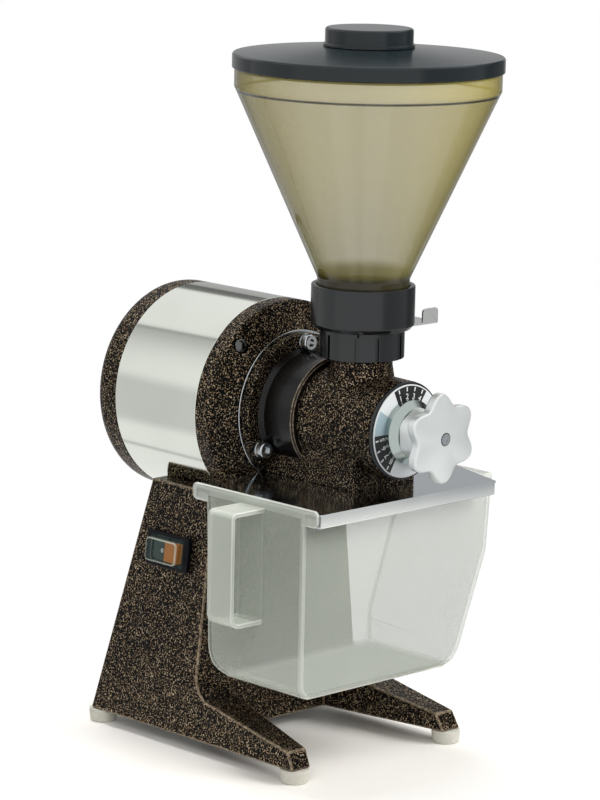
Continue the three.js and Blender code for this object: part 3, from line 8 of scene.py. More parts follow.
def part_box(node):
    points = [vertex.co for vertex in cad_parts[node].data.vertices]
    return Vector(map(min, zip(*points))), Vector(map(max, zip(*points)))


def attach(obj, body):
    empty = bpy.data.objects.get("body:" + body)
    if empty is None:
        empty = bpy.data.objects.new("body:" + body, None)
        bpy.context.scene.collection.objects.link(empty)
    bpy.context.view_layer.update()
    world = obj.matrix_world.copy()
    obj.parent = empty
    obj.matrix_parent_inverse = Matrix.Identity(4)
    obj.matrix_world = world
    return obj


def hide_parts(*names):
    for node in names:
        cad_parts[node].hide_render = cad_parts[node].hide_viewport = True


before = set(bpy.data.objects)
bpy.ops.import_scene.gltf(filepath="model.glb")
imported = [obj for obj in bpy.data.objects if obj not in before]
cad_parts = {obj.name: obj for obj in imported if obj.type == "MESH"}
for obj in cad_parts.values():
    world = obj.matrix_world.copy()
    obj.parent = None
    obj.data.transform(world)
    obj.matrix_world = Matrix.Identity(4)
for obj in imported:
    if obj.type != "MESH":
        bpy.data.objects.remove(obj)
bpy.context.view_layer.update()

# Sizes in the dictionaries are millimetres, counted from the hopper's centre line and the floor.
mm = 0.001
knobLow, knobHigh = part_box("lid_knob")
hopperX = (knobLow.x + knobHigh.x) / 2
hopperY = (knobLow.y + knobHigh.y) / 2
axleHeight = 272
turn = 2 * math.pi
motorSides = 128
print("frame loaded, hopper at", round(hopperX, 4), round(hopperY, 4))


class Values(dict):
    # A dictionary whose values are also read with a dot.
    __getattr__ = dict.__getitem__

    def but(self, **changes):
        return Values({**self, **changes})


def mathsMethod(operation, flipped=False):
    def method(self, other):
        return self.graph.maths(operation, *((other, self) if flipped else (self, other)))
    return method


# Node graphs: a wire is one output socket, and maths on wires adds Math nodes.
class Wire:
    __add__ = __radd__ = mathsMethod("ADD")
    __mul__ = __rmul__ = mathsMethod("MULTIPLY")
    __sub__, __rsub__ = mathsMethod("SUBTRACT"), mathsMethod("SUBTRACT", True)
    __truediv__, __rtruediv__ = mathsMethod("DIVIDE"), mathsMethod("DIVIDE", True)

    def __init__(self, graph, socket):
        self.graph = graph
        self.socket = socket

    def distance(self):
        return self.graph.maths("ABSOLUTE", self)

    def clipped(self):
        return self.graph.maths("ADD", self, 0, clamp=True)


class Graph:
    def __init__(self, tree):
        self.tree = tree

    def node(self, kind, settings=None, values=None, out=0):
        made = self.tree.nodes.new(kind)
        for key, value in (settings or {}).items():
            setattr(made, key, value)
        for key, value in (values or {}).items():
            if isinstance(value, Wire):
                self.tree.links.new(value.socket, made.inputs[key])
            else:
                made.inputs[key].default_value = value
        return Wire(self, made.outputs[out]) if len(made.outputs) else made

    def maths(self, operation, *terms, clamp=False):
        settings = {"operation": operation, "use_clamp": clamp}
        return self.node("ShaderNodeMath", settings, dict(enumerate(terms)))


# A finish is a material whose patterns sit on Object coordinates.
class Finish(Graph):
    def __init__(self, name):
        self.material = bpy.data.materials.new(name)
        self.material.use_nodes = True
        super().__init__(self.material.node_tree)
        self.tree.nodes.clear()
        self.place = self.node("ShaderNodeTexCoord", out="Object")

    def noise(self, scale, detail=2, roughness=0.5, distortion=0, stretch=(1, 1, 1)):
        place = self.node("ShaderNodeMapping", {"vector_type": "POINT"},
            {"Vector": self.place, "Scale": stretch})
        values = {"Vector": place, "Scale": scale, "Detail": detail, "Roughness": roughness,
            "Distortion": distortion}
        return self.node("ShaderNodeTexNoise", {"noise_dimensions": "3D"}, values, "Fac")

    def mixed(self, share, first, second):
        settings = {"data_type": "RGBA", "clamp_factor": True}
        return self.node("ShaderNodeMix", settings, {0: share, 6: first, 7: second}, 2)

    def axis(self, letter):
        return self.node("ShaderNodeSeparateXYZ", None, {"Vector": self.place}, letter)

    def between(self, wire, start, end):
        # Rises smoothly from 0 at start to 1 at end.
        values = {"Value": wire, "From Min": start, "From Max": end}
        return self.node("ShaderNodeMapRange", {"interpolation_type": "SMOOTHSTEP"}, values)

    def bump(self, height, depth, strength=1):
        return self.node("ShaderNodeBump", None, {"Strength": strength, "Distance": depth, "Height": height})

    def surface(self, values):
        shader = self.node("ShaderNodeBsdfPrincipled", None, values)
        self.node("ShaderNodeOutputMaterial", None, {"Surface": shader})
        return self.material


def paint(red, green, blue):
    # A colour as it looks on screen, made linear.
    shares = [value / 255 for value in (red, green, blue)]
    return tuple(v / 12.92 if v < 0.04045 else ((v + 0.055) / 1.055) ** 2.4 for v in shares) + (1,)


hammeredLook = Values({
    "ground": (7, 6, 5), "fleck": (124, 100, 72), "bareFleck": (206, 186, 156), "fleckScale": 880,
    "fleckFrom": 0.57, "fleckTo": 0.65, "metal": 0.7, "shine": 0.07, "depth": 0.0006,
})


def hammeredPaint(look):
    finish = Finish("hammeredPaint")
    dimples = finish.noise(look.fleckScale, 0.6, 0.5, 0.25)
    patches = finish.noise(38, 2)
    fleck = finish.between(dimples + (patches - 0.5) * 0.06, look.fleckFrom, look.fleckTo)
    tone = finish.noise(190, 2)
    fleckColour = finish.mixed((tone - 0.3) * 2, paint(*look.fleck), paint(*look.bareFleck))
    colour = finish.mixed(fleck, paint(*look.ground), fleckColour)
    return finish.surface({
        "Base Color": colour, "Metallic": fleck * look.metal, "Roughness": 0.26 + fleck * 0.06,
        "Specular IOR Level": look.shine, "Normal": finish.bump(dimples, look.depth, 0.9),
    })


def wornEdgeAndHighlight():
    # Paint worn thin along an edge, lightened there as a painted highlight where a rounded edge catches the
    # light.
    finish = Finish("wornPaintEdge")
    wear = finish.noise(420, 3, 0.6)
    return finish.surface({
        "Base Color": finish.mixed((wear - 0.35) * 3, paint(66, 53, 42), paint(168, 150, 124)),
        "Metallic": 0.5, "Roughness": 0.3, "Normal": finish.bump(wear, 0.0002, 0.6),
    })


def smoothPaint():
    finish = Finish("smoothDarkPaint")
    cloud = finish.noise(60, 3)
    grain = finish.noise(700, 2)
    return finish.surface({
        "Base Color": finish.mixed(cloud, paint(10, 9, 9), paint(20, 18, 17)),
        "Roughness": 0.2 + grain * 0.08, "Specular IOR Level": 0.2, "Coat Weight": 0.15,
        "Coat Roughness": 0.12, "Normal": finish.bump(grain, 0.0001, 0.35),
    })


def polishedSteel(name, colour, roughness, stretch=(1, 1, 1), streak=0.05):
    finish = Finish(name)
    lines = finish.noise(320, 3, 0.6, 0, stretch)
    cloud = finish.noise(14, 2)
    return finish.surface({
        "Base Color": finish.mixed(cloud, paint(*colour), paint(*[value * 0.93 for value in colour])),
        "Metallic": 1.0, "Roughness": lines * streak + (roughness - streak / 2),
        "Normal": finish.bump(lines, 0.00002, 0.25),
    })


def plateSteel(look):
    # Mirror finish on top, duller along the front fold, where a painted reflection runs from pale at the left
    # and bottom to darker at the right and top.
    finish = Finish("polishedPlateSteel")
    lines = finish.noise(320, 3, 0.6, 0, (0.04, 1, 1))
    fold = 1 - finish.between(finish.axis("Y"), look.fold, look.fold + 0.0006)
    along = finish.between(finish.axis("X"), look.left, look.right)
    height = finish.between(finish.axis("Z"), look.foldLow, look.foldHigh)
    foldPaintedReflection = finish.mixed((along * 0.5 + height * 0.5).clipped(), paint(*look.foldPale),
        paint(*look.foldDark))
    return finish.surface({
        "Base Color": finish.mixed(fold, paint(*look.top), foldPaintedReflection), "Metallic": 1.0 - fold * 0.35,
        "Roughness": lines * 0.05 + fold * 0.14 + 0.1, "Normal": finish.bump(lines, 0.00002, 0.25),
    })


def castAluminium():
    finish = Finish("castAluminium")
    grain = finish.noise(520, 3, 0.6)
    broad = finish.noise(40, 2)
    return finish.surface({
        "Base Color": finish.mixed(broad, paint(242, 246, 244), paint(228, 233, 232)),
        "Metallic": 0.6, "Roughness": 0.34 + grain * 0.12, "Normal": finish.bump(grain, 0.00012, 0.4),
    })


def mouldedPlastic(name, low, high, roughness, shine=0.5, coat=0.2):
    finish = Finish(name)
    skin = finish.noise(900, 2)
    cloud = finish.noise(30, 2)
    return finish.surface({
        "Base Color": finish.mixed(cloud, paint(*low), paint(*high)),
        "Roughness": roughness - 0.03 + skin * 0.06, "Coat Weight": coat, "Coat Roughness": 0.1,
        "Specular IOR Level": shine, "Normal": finish.bump(skin, 0.00004, 0.3),
    })


def seeThroughPlastic(name, look):
    # The view through grows dimmer where the wall is seen edge on. A band at the foot takes its own colour
    # and is less clear: on the drawer it is a painted highlight on the floor and bottom edge, on the hopper
    # it is darker at the foot.
    finish = Finish(name)
    facing = finish.node("ShaderNodeLayerWeight", None, {"Blend": look.edgeBlend}, "Facing")
    edge = (facing * facing).clipped()
    z = finish.axis("Z")
    height = finish.between(z, look.low, look.high)
    base = 1 - finish.between(z, look.baseFrom, look.baseTo)
    seam = 1 - finish.between((z - look.seam).distance(), 0.0004, 0.0013)
    cloud = finish.noise(look.cloud, 1)
    face = finish.mixed((height + (cloud - 0.5) * 0.4).clipped(), paint(*look.lowFace), paint(*look.face))
    face = finish.mixed(base, face, paint(*look.base))
    clear, dim = look.alpha
    return finish.surface({
        "Base Color": finish.mixed((edge + seam).clipped(), face, paint(*look.rim)),
        "Roughness": look.roughness,
        "Alpha": (edge * (dim - clear) + clear + base * look.baseAlpha + seam * 0.35).clipped(),
        "Specular IOR Level": look.shine,
    })


def paleRubber():
    finish = Finish("paleRubber")
    dust = finish.noise(260, 4, 0.6)
    return finish.surface({
        "Base Color": finish.mixed(dust, paint(214, 213, 203), paint(188, 186, 174)),
        "Roughness": 0.5 + dust * 0.2, "Subsurface Weight": 0.12, "Subsurface Scale": 0.004,
        "Normal": finish.bump(dust, 0.0001, 0.4),
    })


plateLook = Values({
    # metres, for the front fold
    "fold": hopperY - 0.0699, "left": hopperX - 0.06, "right": hopperX + 0.084,
    "foldLow": 0.214, "foldHigh": 0.2235, "top": (208, 214, 220),
    # the fold's painted highlight and painted shade
    "foldPale": (250, 252, 248), "foldDark": (186, 192, 194),
})
smokedLook = Values({
    # heights in metres; alpha is that of a wall seen face on and edge on
    "face": (220, 204, 112), "lowFace": (168, 158, 80), "rim": (44, 46, 28), "base": (62, 56, 30),
    "baseAlpha": 0.4, "baseFrom": 0.386, "baseTo": 0.396, "seam": 0.531, "low": 0.354, "high": 0.53,
    "alpha": (0.31, 0.97), "roughness": 0.07, "cloud": 9, "shine": 0.5, "edgeBlend": 0.5,
})
clearLook = Values({
    # base is a painted highlight on the drawer's floor and bottom edge
    "face": (216, 222, 210), "lowFace": (204, 210, 200), "rim": (222, 226, 216), "base": (250, 250, 244),
    "baseAlpha": 0.6, "baseFrom": 0.076, "baseTo": 0.08, "seam": 0, "low": 0.075, "high": 0.2,
    "alpha": (0.24, 0.72), "roughness": 0.12, "cloud": 12, "shine": 0.25, "edgeBlend": 0.35,
})
hoodLook = Values({
    "face": (96, 118, 116), "lowFace": (80, 96, 92), "rim": (150, 166, 156), "base": (96, 118, 116),
    "baseAlpha": 0.0, "baseFrom": 0.12, "baseTo": 0.13, "seam": 0, "low": 0.13, "high": 0.18,
    "alpha": (0.08, 0.55), "roughness": 0.1, "cloud": 40, "shine": 0.3, "edgeBlend": 0.35,
})
finishes = {
    "hammered": hammeredPaint(hammeredLook),
    "wornEdgeAndHighlight": wornEdgeAndHighlight(),
    "smoothPaint": smoothPaint(),
    "sleeveSteel": polishedSteel("polishedSleeveSteel", (226, 229, 220), 0.1, (1, 0.03, 1), 0.04),
    "plateSteel": plateSteel(plateLook),
    "turnedSteel": polishedSteel("turnedSteel", (178, 188, 184), 0.16, (1, 0.05, 1), 0.06),
    "zinc": polishedSteel("brightZinc", (204, 208, 210), 0.2, (1, 1, 1), 0.1),
    "iron": polishedSteel("groundIron", (120, 120, 122), 0.4, (1, 1, 1), 0.2),
    "copper": polishedSteel("varnishedCopper", (190, 112, 62), 0.35, (1, 6, 1), 0.2),
    "castAluminium": castAluminium(),
    "black": mouldedPlastic("blackPlastic", (8, 12, 14), (13, 18, 21), 0.26),
    "lidPlastic": mouldedPlastic("slatePlastic", (20, 28, 31), (26, 36, 39), 0.18, shine=0.36, coat=0.1),
    "plugBlack": mouldedPlastic("plugBlack", (6, 7, 8), (10, 11, 12), 0.12, shine=1.0, coat=0.8),
    "gateSteel": polishedSteel("gateSteel", (238, 240, 238), 0.3, (1, 1, 1), 0.1),
    "switchBlack": mouldedPlastic("switchBlack", (8, 9, 14), (12, 13, 20), 0.3, shine=0.12, coat=0.0),
    # The paddle half of the rocker is coloured slate as a painted bluish reflection.
    "paddlePaintedReflection": mouldedPlastic("switchSlate", (50, 66, 62), (60, 76, 68), 0.3, shine=0.2, coat=0.0),
    "dialWhite": mouldedPlastic("dialWhite", (240, 242, 242), (230, 234, 236), 0.35),
    "dialBlack": mouldedPlastic("dialBlack", (12, 12, 14), (20, 20, 22), 0.4),
    "dialBlue": mouldedPlastic("dialBlue", (176, 196, 204), (164, 186, 196), 0.4),
    "amber": mouldedPlastic("amberLens", (216, 140, 50), (190, 116, 36), 0.25, shine=0.3, coat=0.0),
    "rubber": paleRubber(),
    "smoked": seeThroughPlastic("smokedPlastic", smokedLook),
    "clear": seeThroughPlastic("clearPlastic", clearLook),
    # The drawer's outer corner bevels, cap and grip band are less clear, as thick plastic is, and paler as a
    # painted sheen.
    "clearThickAndSheen": seeThroughPlastic("clearThickPlastic", clearLook.but(
        face=(232, 237, 226), lowFace=(236, 240, 230), rim=(222, 226, 214), baseAlpha=0.3, alpha=(0.44, 0.84),
        cloud=60, shine=0.4)),
    # Thin bevels on the drawer's inner corners, cap and grip band are paler and less clear as a painted edge
    # highlight.
    "clearPaintedEdgeHighlight": seeThroughPlastic("clearPlasticEdge", clearLook.but(
        face=(250, 251, 244), lowFace=(244, 245, 238), rim=(232, 234, 220), baseAlpha=0.2, alpha=(0.66, 0.9),
        roughness=0.1, cloud=40, shine=0.5)),
    "hood": seeThroughPlastic("hoodPlastic", hoodLook),
    # The hood's rounded edges are paler and less clear as a painted edge highlight.
    "hoodPaintedEdgeHighlight": seeThroughPlastic("hoodPlasticEdge", hoodLook.but(
        face=(214, 222, 206), lowFace=(232, 234, 220), rim=(190, 200, 186), alpha=(0.5, 0.9), shine=0.5)),
}
print("finishes made:", len(finishes))


# Meshes. Points are millimetres in the dictionaries' frame; a pattern piece is made at the origin instead.
def linked(name, data):
    piece = bpy.data.objects.new(name, data)
    bpy.context.scene.collection.objects.link(piece)
    return piece


def blank(name, points, faces, finish, atOrigin=False):
    shift = (0, 0) if atOrigin else (hopperX, hopperY)
    mesh = bpy.data.meshes.new(name)
    mesh.from_pydata([(p[0] * mm + shift[0], p[1] * mm + shift[1], p[2] * mm) for p in points], [], faces)
    work = bmesh.new()
    work.from_mesh(mesh)
    bmesh.ops.recalc_face_normals(work, faces=work.faces)
    work.to_mesh(mesh)
    work.free()
    mesh.materials.append(finishes[finish])
    return linked(name, mesh)


def discard(*pieces):
    for piece in pieces:
        mesh = piece.data
        bpy.data.objects.remove(piece)
        bpy.data.meshes.remove(mesh)


def settle(piece):
    # Modifiers become plain mesh.
    graph = bpy.context.evaluated_depsgraph_get()
    old = piece.data
    mesh = bpy.data.meshes.new_from_object(piece.evaluated_get(graph), depsgraph=graph)
    piece.modifiers.clear()
    piece.data = mesh
    mesh.name = piece.name
    bpy.data.meshes.remove(old)
    return piece


def carve(piece, tools, operation="DIFFERENCE"):
    for tool in tools:
        step = piece.modifiers.new(operation.lower(), "BOOLEAN")
        step.object = tool
        step.operation = operation
        step.solver = "EXACT"
        step.material_mode = "TRANSFER"
        settle(piece)
        merge(piece)
    discard(*tools)
    return piece


def soften(piece, width, steps=3, angle=38, edgeFinish=None):
    bevel = piece.modifiers.new("edges", "BEVEL")
    bevel.width = width * mm
    bevel.segments = steps
    bevel.limit_method = "ANGLE"
    bevel.angle_limit = math.radians(angle)
    bevel.use_clamp_overlap = False
    if edgeFinish:
        piece.data.materials.append(finishes[edgeFinish])
        bevel.material = len(piece.data.materials) - 1
    return settle(piece)


def merge(piece):
    # Points that a cut left on top of each other become one.
    work = bmesh.new()
    work.from_mesh(piece.data)
    bmesh.ops.remove_doubles(work, verts=work.verts, dist=1e-6)
    bmesh.ops.dissolve_degenerate(work, edges=work.edges, dist=1e-6)
    work.to_mesh(piece.data)
    work.free()


def shade(piece, angle=34):
    # Flat walls stay flat and rounded edges stay round.
    merge(piece)
    piece.data.shade_smooth()
    piece.data.set_sharp_from_angle(angle=math.radians(angle))
    weigh = piece.modifiers.new("weigh", "WEIGHTED_NORMAL")
    weigh.keep_sharp = True
    weigh.weight = 90
    return settle(piece)


def dress(piece, body, nodes=()):
    shade(piece)
    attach(piece, body)
    if nodes:
        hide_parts(*nodes)
    return piece


def gathered(name, pieces):
    # Several meshes become one object.
    work = bmesh.new()
    stock = []
    for piece in pieces:
        for material in piece.data.materials:
            if material not in stock:
                stock.append(material)
        start = len(work.faces)
        work.from_mesh(piece.data)
        work.faces.ensure_lookup_table()
        for face in work.faces[start:]:
            face.material_index = stock.index(piece.data.materials[face.material_index])
    mesh = bpy.data.meshes.new(name)
    work.to_mesh(mesh)
    work.free()
    for material in stock:
        mesh.materials.append(material)
    discard(*pieces)
    return linked(name, mesh)


def rounded(points, closed=False, steps=5):
    # A point is (u, v) or (u, v, radius): corners with a radius become arcs.
    made = []
    count = len(points)
    for i, point in enumerate(points):
        corner = Vector(point[:2])
        radius = point[2] if len(point) > 2 else 0
        if not radius or (not closed and i in (0, count - 1)):
            made.append(corner)
            continue
        before = Vector(points[i - 1][:2]) - corner
        after = Vector(points[(i + 1) % count][:2]) - corner
        half = before.angle(after) / 2
        reach = min(radius / math.tan(half), before.length * 0.49, after.length * 0.49)
        middle = corner + (before.normalized() + after.normalized()).normalized() * reach / math.cos(half)
        first = corner + before.normalized() * reach - middle
        last = corner + after.normalized() * reach - middle
        sweep = math.atan2(first.x * last.y - first.y * last.x, first.dot(last))
        for step in range(steps + 1):
            angle = sweep * step / steps
            made.append(middle + Vector((
                first.x * math.cos(angle) - first.y * math.sin(angle),
                first.x * math.sin(angle) + first.y * math.cos(angle))))
    return made


def turned(name, profile, finish, axis="Z", sides=motorSides, centre=(0, 0), atOrigin=False, steps=5):
    # Spins a profile of (radius, place, corner radius) round an axis.
    closed = profile[0][0] > 0 and profile[-1][0] > 0
    line = rounded(profile, closed, steps)
    points, rings = [], []
    for radius, place in line:
        count = sides if radius > 1e-6 else 1
        rings.append([len(points) + i for i in range(count)])
        for i in range(count):
            u = centre[0] + radius * math.cos(turn * i / sides)
            v = centre[1] + radius * math.sin(turn * i / sides)
            points.append((u, v, place) if axis == "Z" else (u, place, v))
    pairs = list(zip(rings, rings[1:])) + ([(rings[-1], rings[0])] if closed else [])
    faces = []
    for one, two in pairs:
        if len(one) == 1 and len(two) == 1:
            continue
        for i in range(sides):
            quad = [one[i % len(one)], one[(i + 1) % len(one)], two[(i + 1) % len(two)], two[i % len(two)]]
            faces.append(list(dict.fromkeys(quad)))
    return blank(name, points, faces, finish, atOrigin)


def onAxle(name, profile, finish, **more):
    return turned(name, profile, finish, "Y", centre=(0, axleHeight), **more)


def prism(name, outline, axis, low, high, finish, atOrigin=False):
    place = {
        "X": lambda p, depth: (depth, p[0], p[1]),
        "Y": lambda p, depth: (p[0], depth, p[1]),
        "Z": lambda p, depth: (p[0], p[1], depth),
    }[axis]
    count = len(outline)
    points = [place(p, depth) for depth in (low, high) for p in outline]
    faces = [list(range(count)), list(range(count, 2 * count))]
    faces += [[i, (i + 1) % count, (i + 1) % count + count, i + count] for i in range(count)]
    return blank(name, points, faces, finish, atOrigin)


def rectangle(left, right, low, high, corner=0, steps=5):
    corners = [(left, low, corner), (right, low, corner), (right, high, corner), (left, high, corner)]
    return rounded(corners, True, steps)


def block(left, right, front, rear, bottom, top, finish="hammered"):
    return prism("block", rectangle(left, right, front, rear), "Z", bottom, top, finish)


def stepped(*places, corners=()):
    # A profile that goes out and along by turns: radius, place, radius, place and so on.
    points = [places[i:i + 2][::-1 if i % 2 else 1] for i in range(len(places) - 1)]
    return [(*point, *corners[i:i + 1]) for i, point in enumerate(points)]


def rodLine(radius, low, high):
    return stepped(0, low, radius, high, 0)


def arc(u, v, radius, start, end, steps):
    angles = [math.radians(start + (end - start) * i / steps) for i in range(steps + 1)]
    return [(u + radius * math.cos(a), v + radius * math.sin(a)) for a in angles]


def moved(piece, matrix):
    piece.data.transform(matrix)
    return piece


# A box made from points in the order low and high of X, then of Y, then of Z
boxFaces = [(0, 1, 3, 2), (4, 5, 7, 6), (0, 1, 5, 4), (2, 3, 7, 6), (0, 2, 6, 4), (1, 3, 7, 5)]


# Geometry node trees for what repeats.
class Grower(Graph):
    def __init__(self, name, inputs):
        tree = bpy.data.node_groups.new(name, "GeometryNodeTree")
        super().__init__(tree)
        for label, kind in {"Geometry": "Geometry", **inputs, "Finish": "Material"}.items():
            tree.interface.new_socket(label, in_out="INPUT", socket_type="NodeSocket" + kind)
        tree.interface.new_socket("Geometry", in_out="OUTPUT", socket_type="NodeSocketGeometry")
        self.source = tree.nodes.new("NodeGroupInput")

    def given(self, label):
        return Wire(self, self.source.outputs[label])

    def vector(self, x, y, z):
        return self.node("ShaderNodeCombineXYZ", None, {0: x, 1: y, 2: z})

    def copies(self, spots, rotation=None):
        pattern = self.node("GeometryNodeObjectInfo", None, {"Object": self.given("Piece")}, "Geometry")
        values = {"Points": spots, "Instance": pattern}
        if rotation:
            values["Rotation"] = rotation
        return self.finished(self.node("GeometryNodeInstanceOnPoints", None, values))

    def finished(self, geometry):
        real = self.node("GeometryNodeRealizeInstances", None, {"Geometry": geometry})
        dressed = self.node("GeometryNodeSetMaterial", None,
            {"Geometry": real, "Material": self.given("Finish")})
        self.node("NodeGroupOutput", None, {0: dressed})
        return self.tree


def grow(name, tree, inputs, start=None):
    piece = linked(name, start.data.copy() if start else bpy.data.meshes.new(name))
    step = piece.modifiers.new("grow", "NODES")
    step.node_group = tree
    for socket in tree.interface.items_tree:
        if socket.in_out == "INPUT" and socket.name in inputs:
            step[socket.identifier] = inputs[socket.name]
    settle(piece)
    piece.data.name = name
    return piece


def copiesRoundAxle():
    # Copies of a pattern piece, evenly spaced round an axis that runs along Y.
    grower = Grower("copiesRoundAxle", {"Piece": "Object", "Count": "Int", "Circle Radius": "Float",
        "First Angle": "Float", "Centre": "Vector", "Lean": "Float"})
    spots = grower.node("GeometryNodePoints", None, {"Count": grower.given("Count")})
    index = grower.node("GeometryNodeInputIndex")
    angle = index * turn / grower.given("Count") + grower.given("First Angle")
    across = grower.maths("COSINE", angle) * grower.given("Circle Radius")
    up = grower.maths("SINE", angle) * grower.given("Circle Radius")
    offset = grower.node("ShaderNodeVectorMath", {"operation": "ADD"},
        {0: grower.vector(across, 0, up), 1: grower.given("Centre")})
    spread = grower.node("GeometryNodeSetPosition", None, {"Geometry": spots, "Position": offset})
    return grower.copies(spread, grower.vector(0, 0 - angle * grower.given("Lean"), 0))


def copiesOnPoints():
    # Copies of a pattern piece on the points of a mesh.
    grower = Grower("copiesOnPoints", {"Piece": "Object"})
    return grower.copies(grower.given("Geometry"))


def slotPairs():
    # Upright copies round the hopper's axis, in pairs with a wide and a narrow land between.
    grower = Grower("slotPairs", {
        "Piece": "Object", "Count": "Int", "Wide Share": "Float", "First Angle": "Float", "Centre": "Vector"})
    spots = grower.node("GeometryNodePoints", None, {"Count": grower.given("Count")})
    index = grower.node("GeometryNodeInputIndex")
    pair = grower.maths("FLOOR", index / 2)
    place = pair + (index - pair * 2) * grower.given("Wide Share")
    angle = place * (2 * turn) / grower.given("Count") + grower.given("First Angle")
    spread = grower.node("GeometryNodeSetPosition", None,
        {"Geometry": spots, "Position": grower.given("Centre")})
    return grower.copies(spread, grower.vector(0, 0, angle))


def lobedRim():
    # Pushes a turned blank out and in by a cosine of its angle round the axle, more towards the rim.
    grower = Grower("lobedRim", {"Lobes": "Float", "Swing": "Float", "First Angle": "Float",
        "Inner Radius": "Float", "Rim Radius": "Float", "Centre": "Vector"})
    place = grower.node("GeometryNodeInputPosition")
    local = grower.node("ShaderNodeVectorMath", {"operation": "SUBTRACT"},
        {0: place, 1: grower.given("Centre")})
    x = grower.node("ShaderNodeSeparateXYZ", None, {0: local}, 0)
    z = grower.node("ShaderNodeSeparateXYZ", None, {0: local}, 2)
    angle = grower.maths("ARCTAN2", z, x)
    radius = grower.maths("SQRT", x * x + z * z)
    inner = grower.given("Inner Radius")
    share = ((radius - inner) / (grower.given("Rim Radius") - inner)).clipped()
    wave = grower.maths("COSINE", (angle - grower.given("First Angle")) * grower.given("Lobes"))
    push = wave * share * grower.given("Swing")
    offset = grower.vector(grower.maths("COSINE", angle) * push, 0, grower.maths("SINE", angle) * push)
    shaped = grower.node("GeometryNodeSetPosition", None,
        {"Geometry": grower.given("Geometry"), "Offset": offset})
    return grower.finished(shaped)


trees = {
    "roundAxle": copiesRoundAxle(), "onPoints": copiesOnPoints(), "slotPairs": slotPairs(),
    "lobedRim": lobedRim(),
}
axleCentre = (hopperX, hopperY, axleHeight * mm)
print("node trees built:", len(trees))


def roundAxle(name, pattern, count, radius, firstAngle, finish, lean=0):
    made = grow(name, trees["roundAxle"], {"Piece": pattern, "Count": count, "Circle Radius": radius * mm,
        "First Angle": math.radians(firstAngle), "Centre": axleCentre, "Lean": lean,
        "Finish": finishes[finish]})
    discard(pattern)
    return made


# Camera and studio
cameraLook = Values({
    "azimuth": -44.36, "elevation": 11.01, "roll": -1.21, "distance": 2.69734, "lens": 157.61,
    "target": (-0.0482, -0.05643, 0.29619),
})


def addCamera(look):
    azimuth, elevation, roll = (math.radians(look[key]) for key in ("azimuth", "elevation", "roll"))
    flat = math.cos(elevation)
    back = Vector((math.sin(azimuth) * flat, -math.cos(azimuth) * flat, math.sin(elevation)))
    level = Vector((math.cos(azimuth), math.sin(azimuth), 0))
    upright = back.cross(level)
    right = level * math.cos(roll) - upright * math.sin(roll)
    up = level * math.sin(roll) + upright * math.cos(roll)
    data = bpy.data.cameras.new("camera")
    data.lens = look.lens
    data.sensor_width = 36
    data.clip_end = 20
    camera = linked("camera", data)
    turnTo = Matrix((right, up, back)).transposed().to_4x4()
    camera.matrix_world = Matrix.Translation(Vector(look.target) + back * look.distance) @ turnTo
    bpy.context.scene.camera = camera


studioLook = Values({
    "ambient": 0.44,
    "lamps": [
        # place, aim, width, height, watts
        ((1.5, -2.1, 1.9), (0, 0, 0.3), 1.5, 1.5, 66),
        ((-2.0, -1.4, 2.2), (0, 0, 0.3), 1.3, 1.3, 24),
        ((0.1, 0.5, 3.1), (0, 0, 0.3), 1.2, 1.2, 68),
    ],
})
floorLook = Values({"half": 0.8, "fadeFrom": 0.13, "fadeTo": 0.3, "colour": (251, 248, 243)})
flagLook = Values({
    "radius": 5, "middle": 0.3,
    "flags": [
        # share of the white taken, soft edges on the left, right, bottom and top in degrees
        (0.54, (-18.5, -17.5), None, (-22, -14), (14, 24)),
        (0.45, (-42, -18.5), (-18.5, -17.5), (8, 24), None),
        (0.5, (-20.5, -18.5), (-17.5, -16.5), None, None),
        (0.8, (22, 27), None, (15, 18), (25, 28)),
        (0.7, (60, 70), (108, 118), None, (30, 45)),
        (0.28, (-76, -66), (-23, -20.5), (-30, -22), (2, 12)),
    ],
    "ground": 0.5, "groundTop": (-50, -44),
    "groundGaps": [((-116, -112), (-92, -86)), ((-166, -162), (-134, -130))],
})


def addLamps(look):
    for i, (place, aim, width, height, watts) in enumerate(look.lamps):
        data = bpy.data.lights.new("lamp%d" % (i + 1), "AREA")
        data.shape = "RECTANGLE"
        data.size = width
        data.size_y = height
        data.energy = watts
        lamp = linked(data.name, data)
        direction = (Vector(aim) - Vector(place)).to_track_quat("-Z", "Y")
        lamp.matrix_world = Matrix.Translation(place) @ direction.to_matrix().to_4x4()
        lamp.visible_glossy = False


def addWorld(look):
    world = bpy.data.worlds.new("studio")
    world.use_nodes = True
    world.node_tree.nodes.clear()
    graph = Graph(world.node_tree)
    ray = graph.tree.nodes.new("ShaderNodeLightPath")
    labels = ("Is Camera Ray", "Is Glossy Ray", "Is Transmission Ray")
    camera, glossy, transmission = (Wire(graph, ray.outputs[label]) for label in labels)
    anySeen = graph.maths("MAXIMUM", graph.maths("MAXIMUM", camera, glossy), transmission)
    ambient = graph.node("ShaderNodeBackground", None, {"Color": (1, 1, 1, 1), "Strength": look.ambient})
    white = graph.node("ShaderNodeBackground", None, {"Color": (1, 1, 1, 1), "Strength": 1.0})
    sky = graph.node("ShaderNodeMixShader", None, {0: anySeen, 1: ambient, 2: white})
    graph.node("ShaderNodeOutputWorld", None, {"Surface": sky})
    bpy.context.scene.world = world


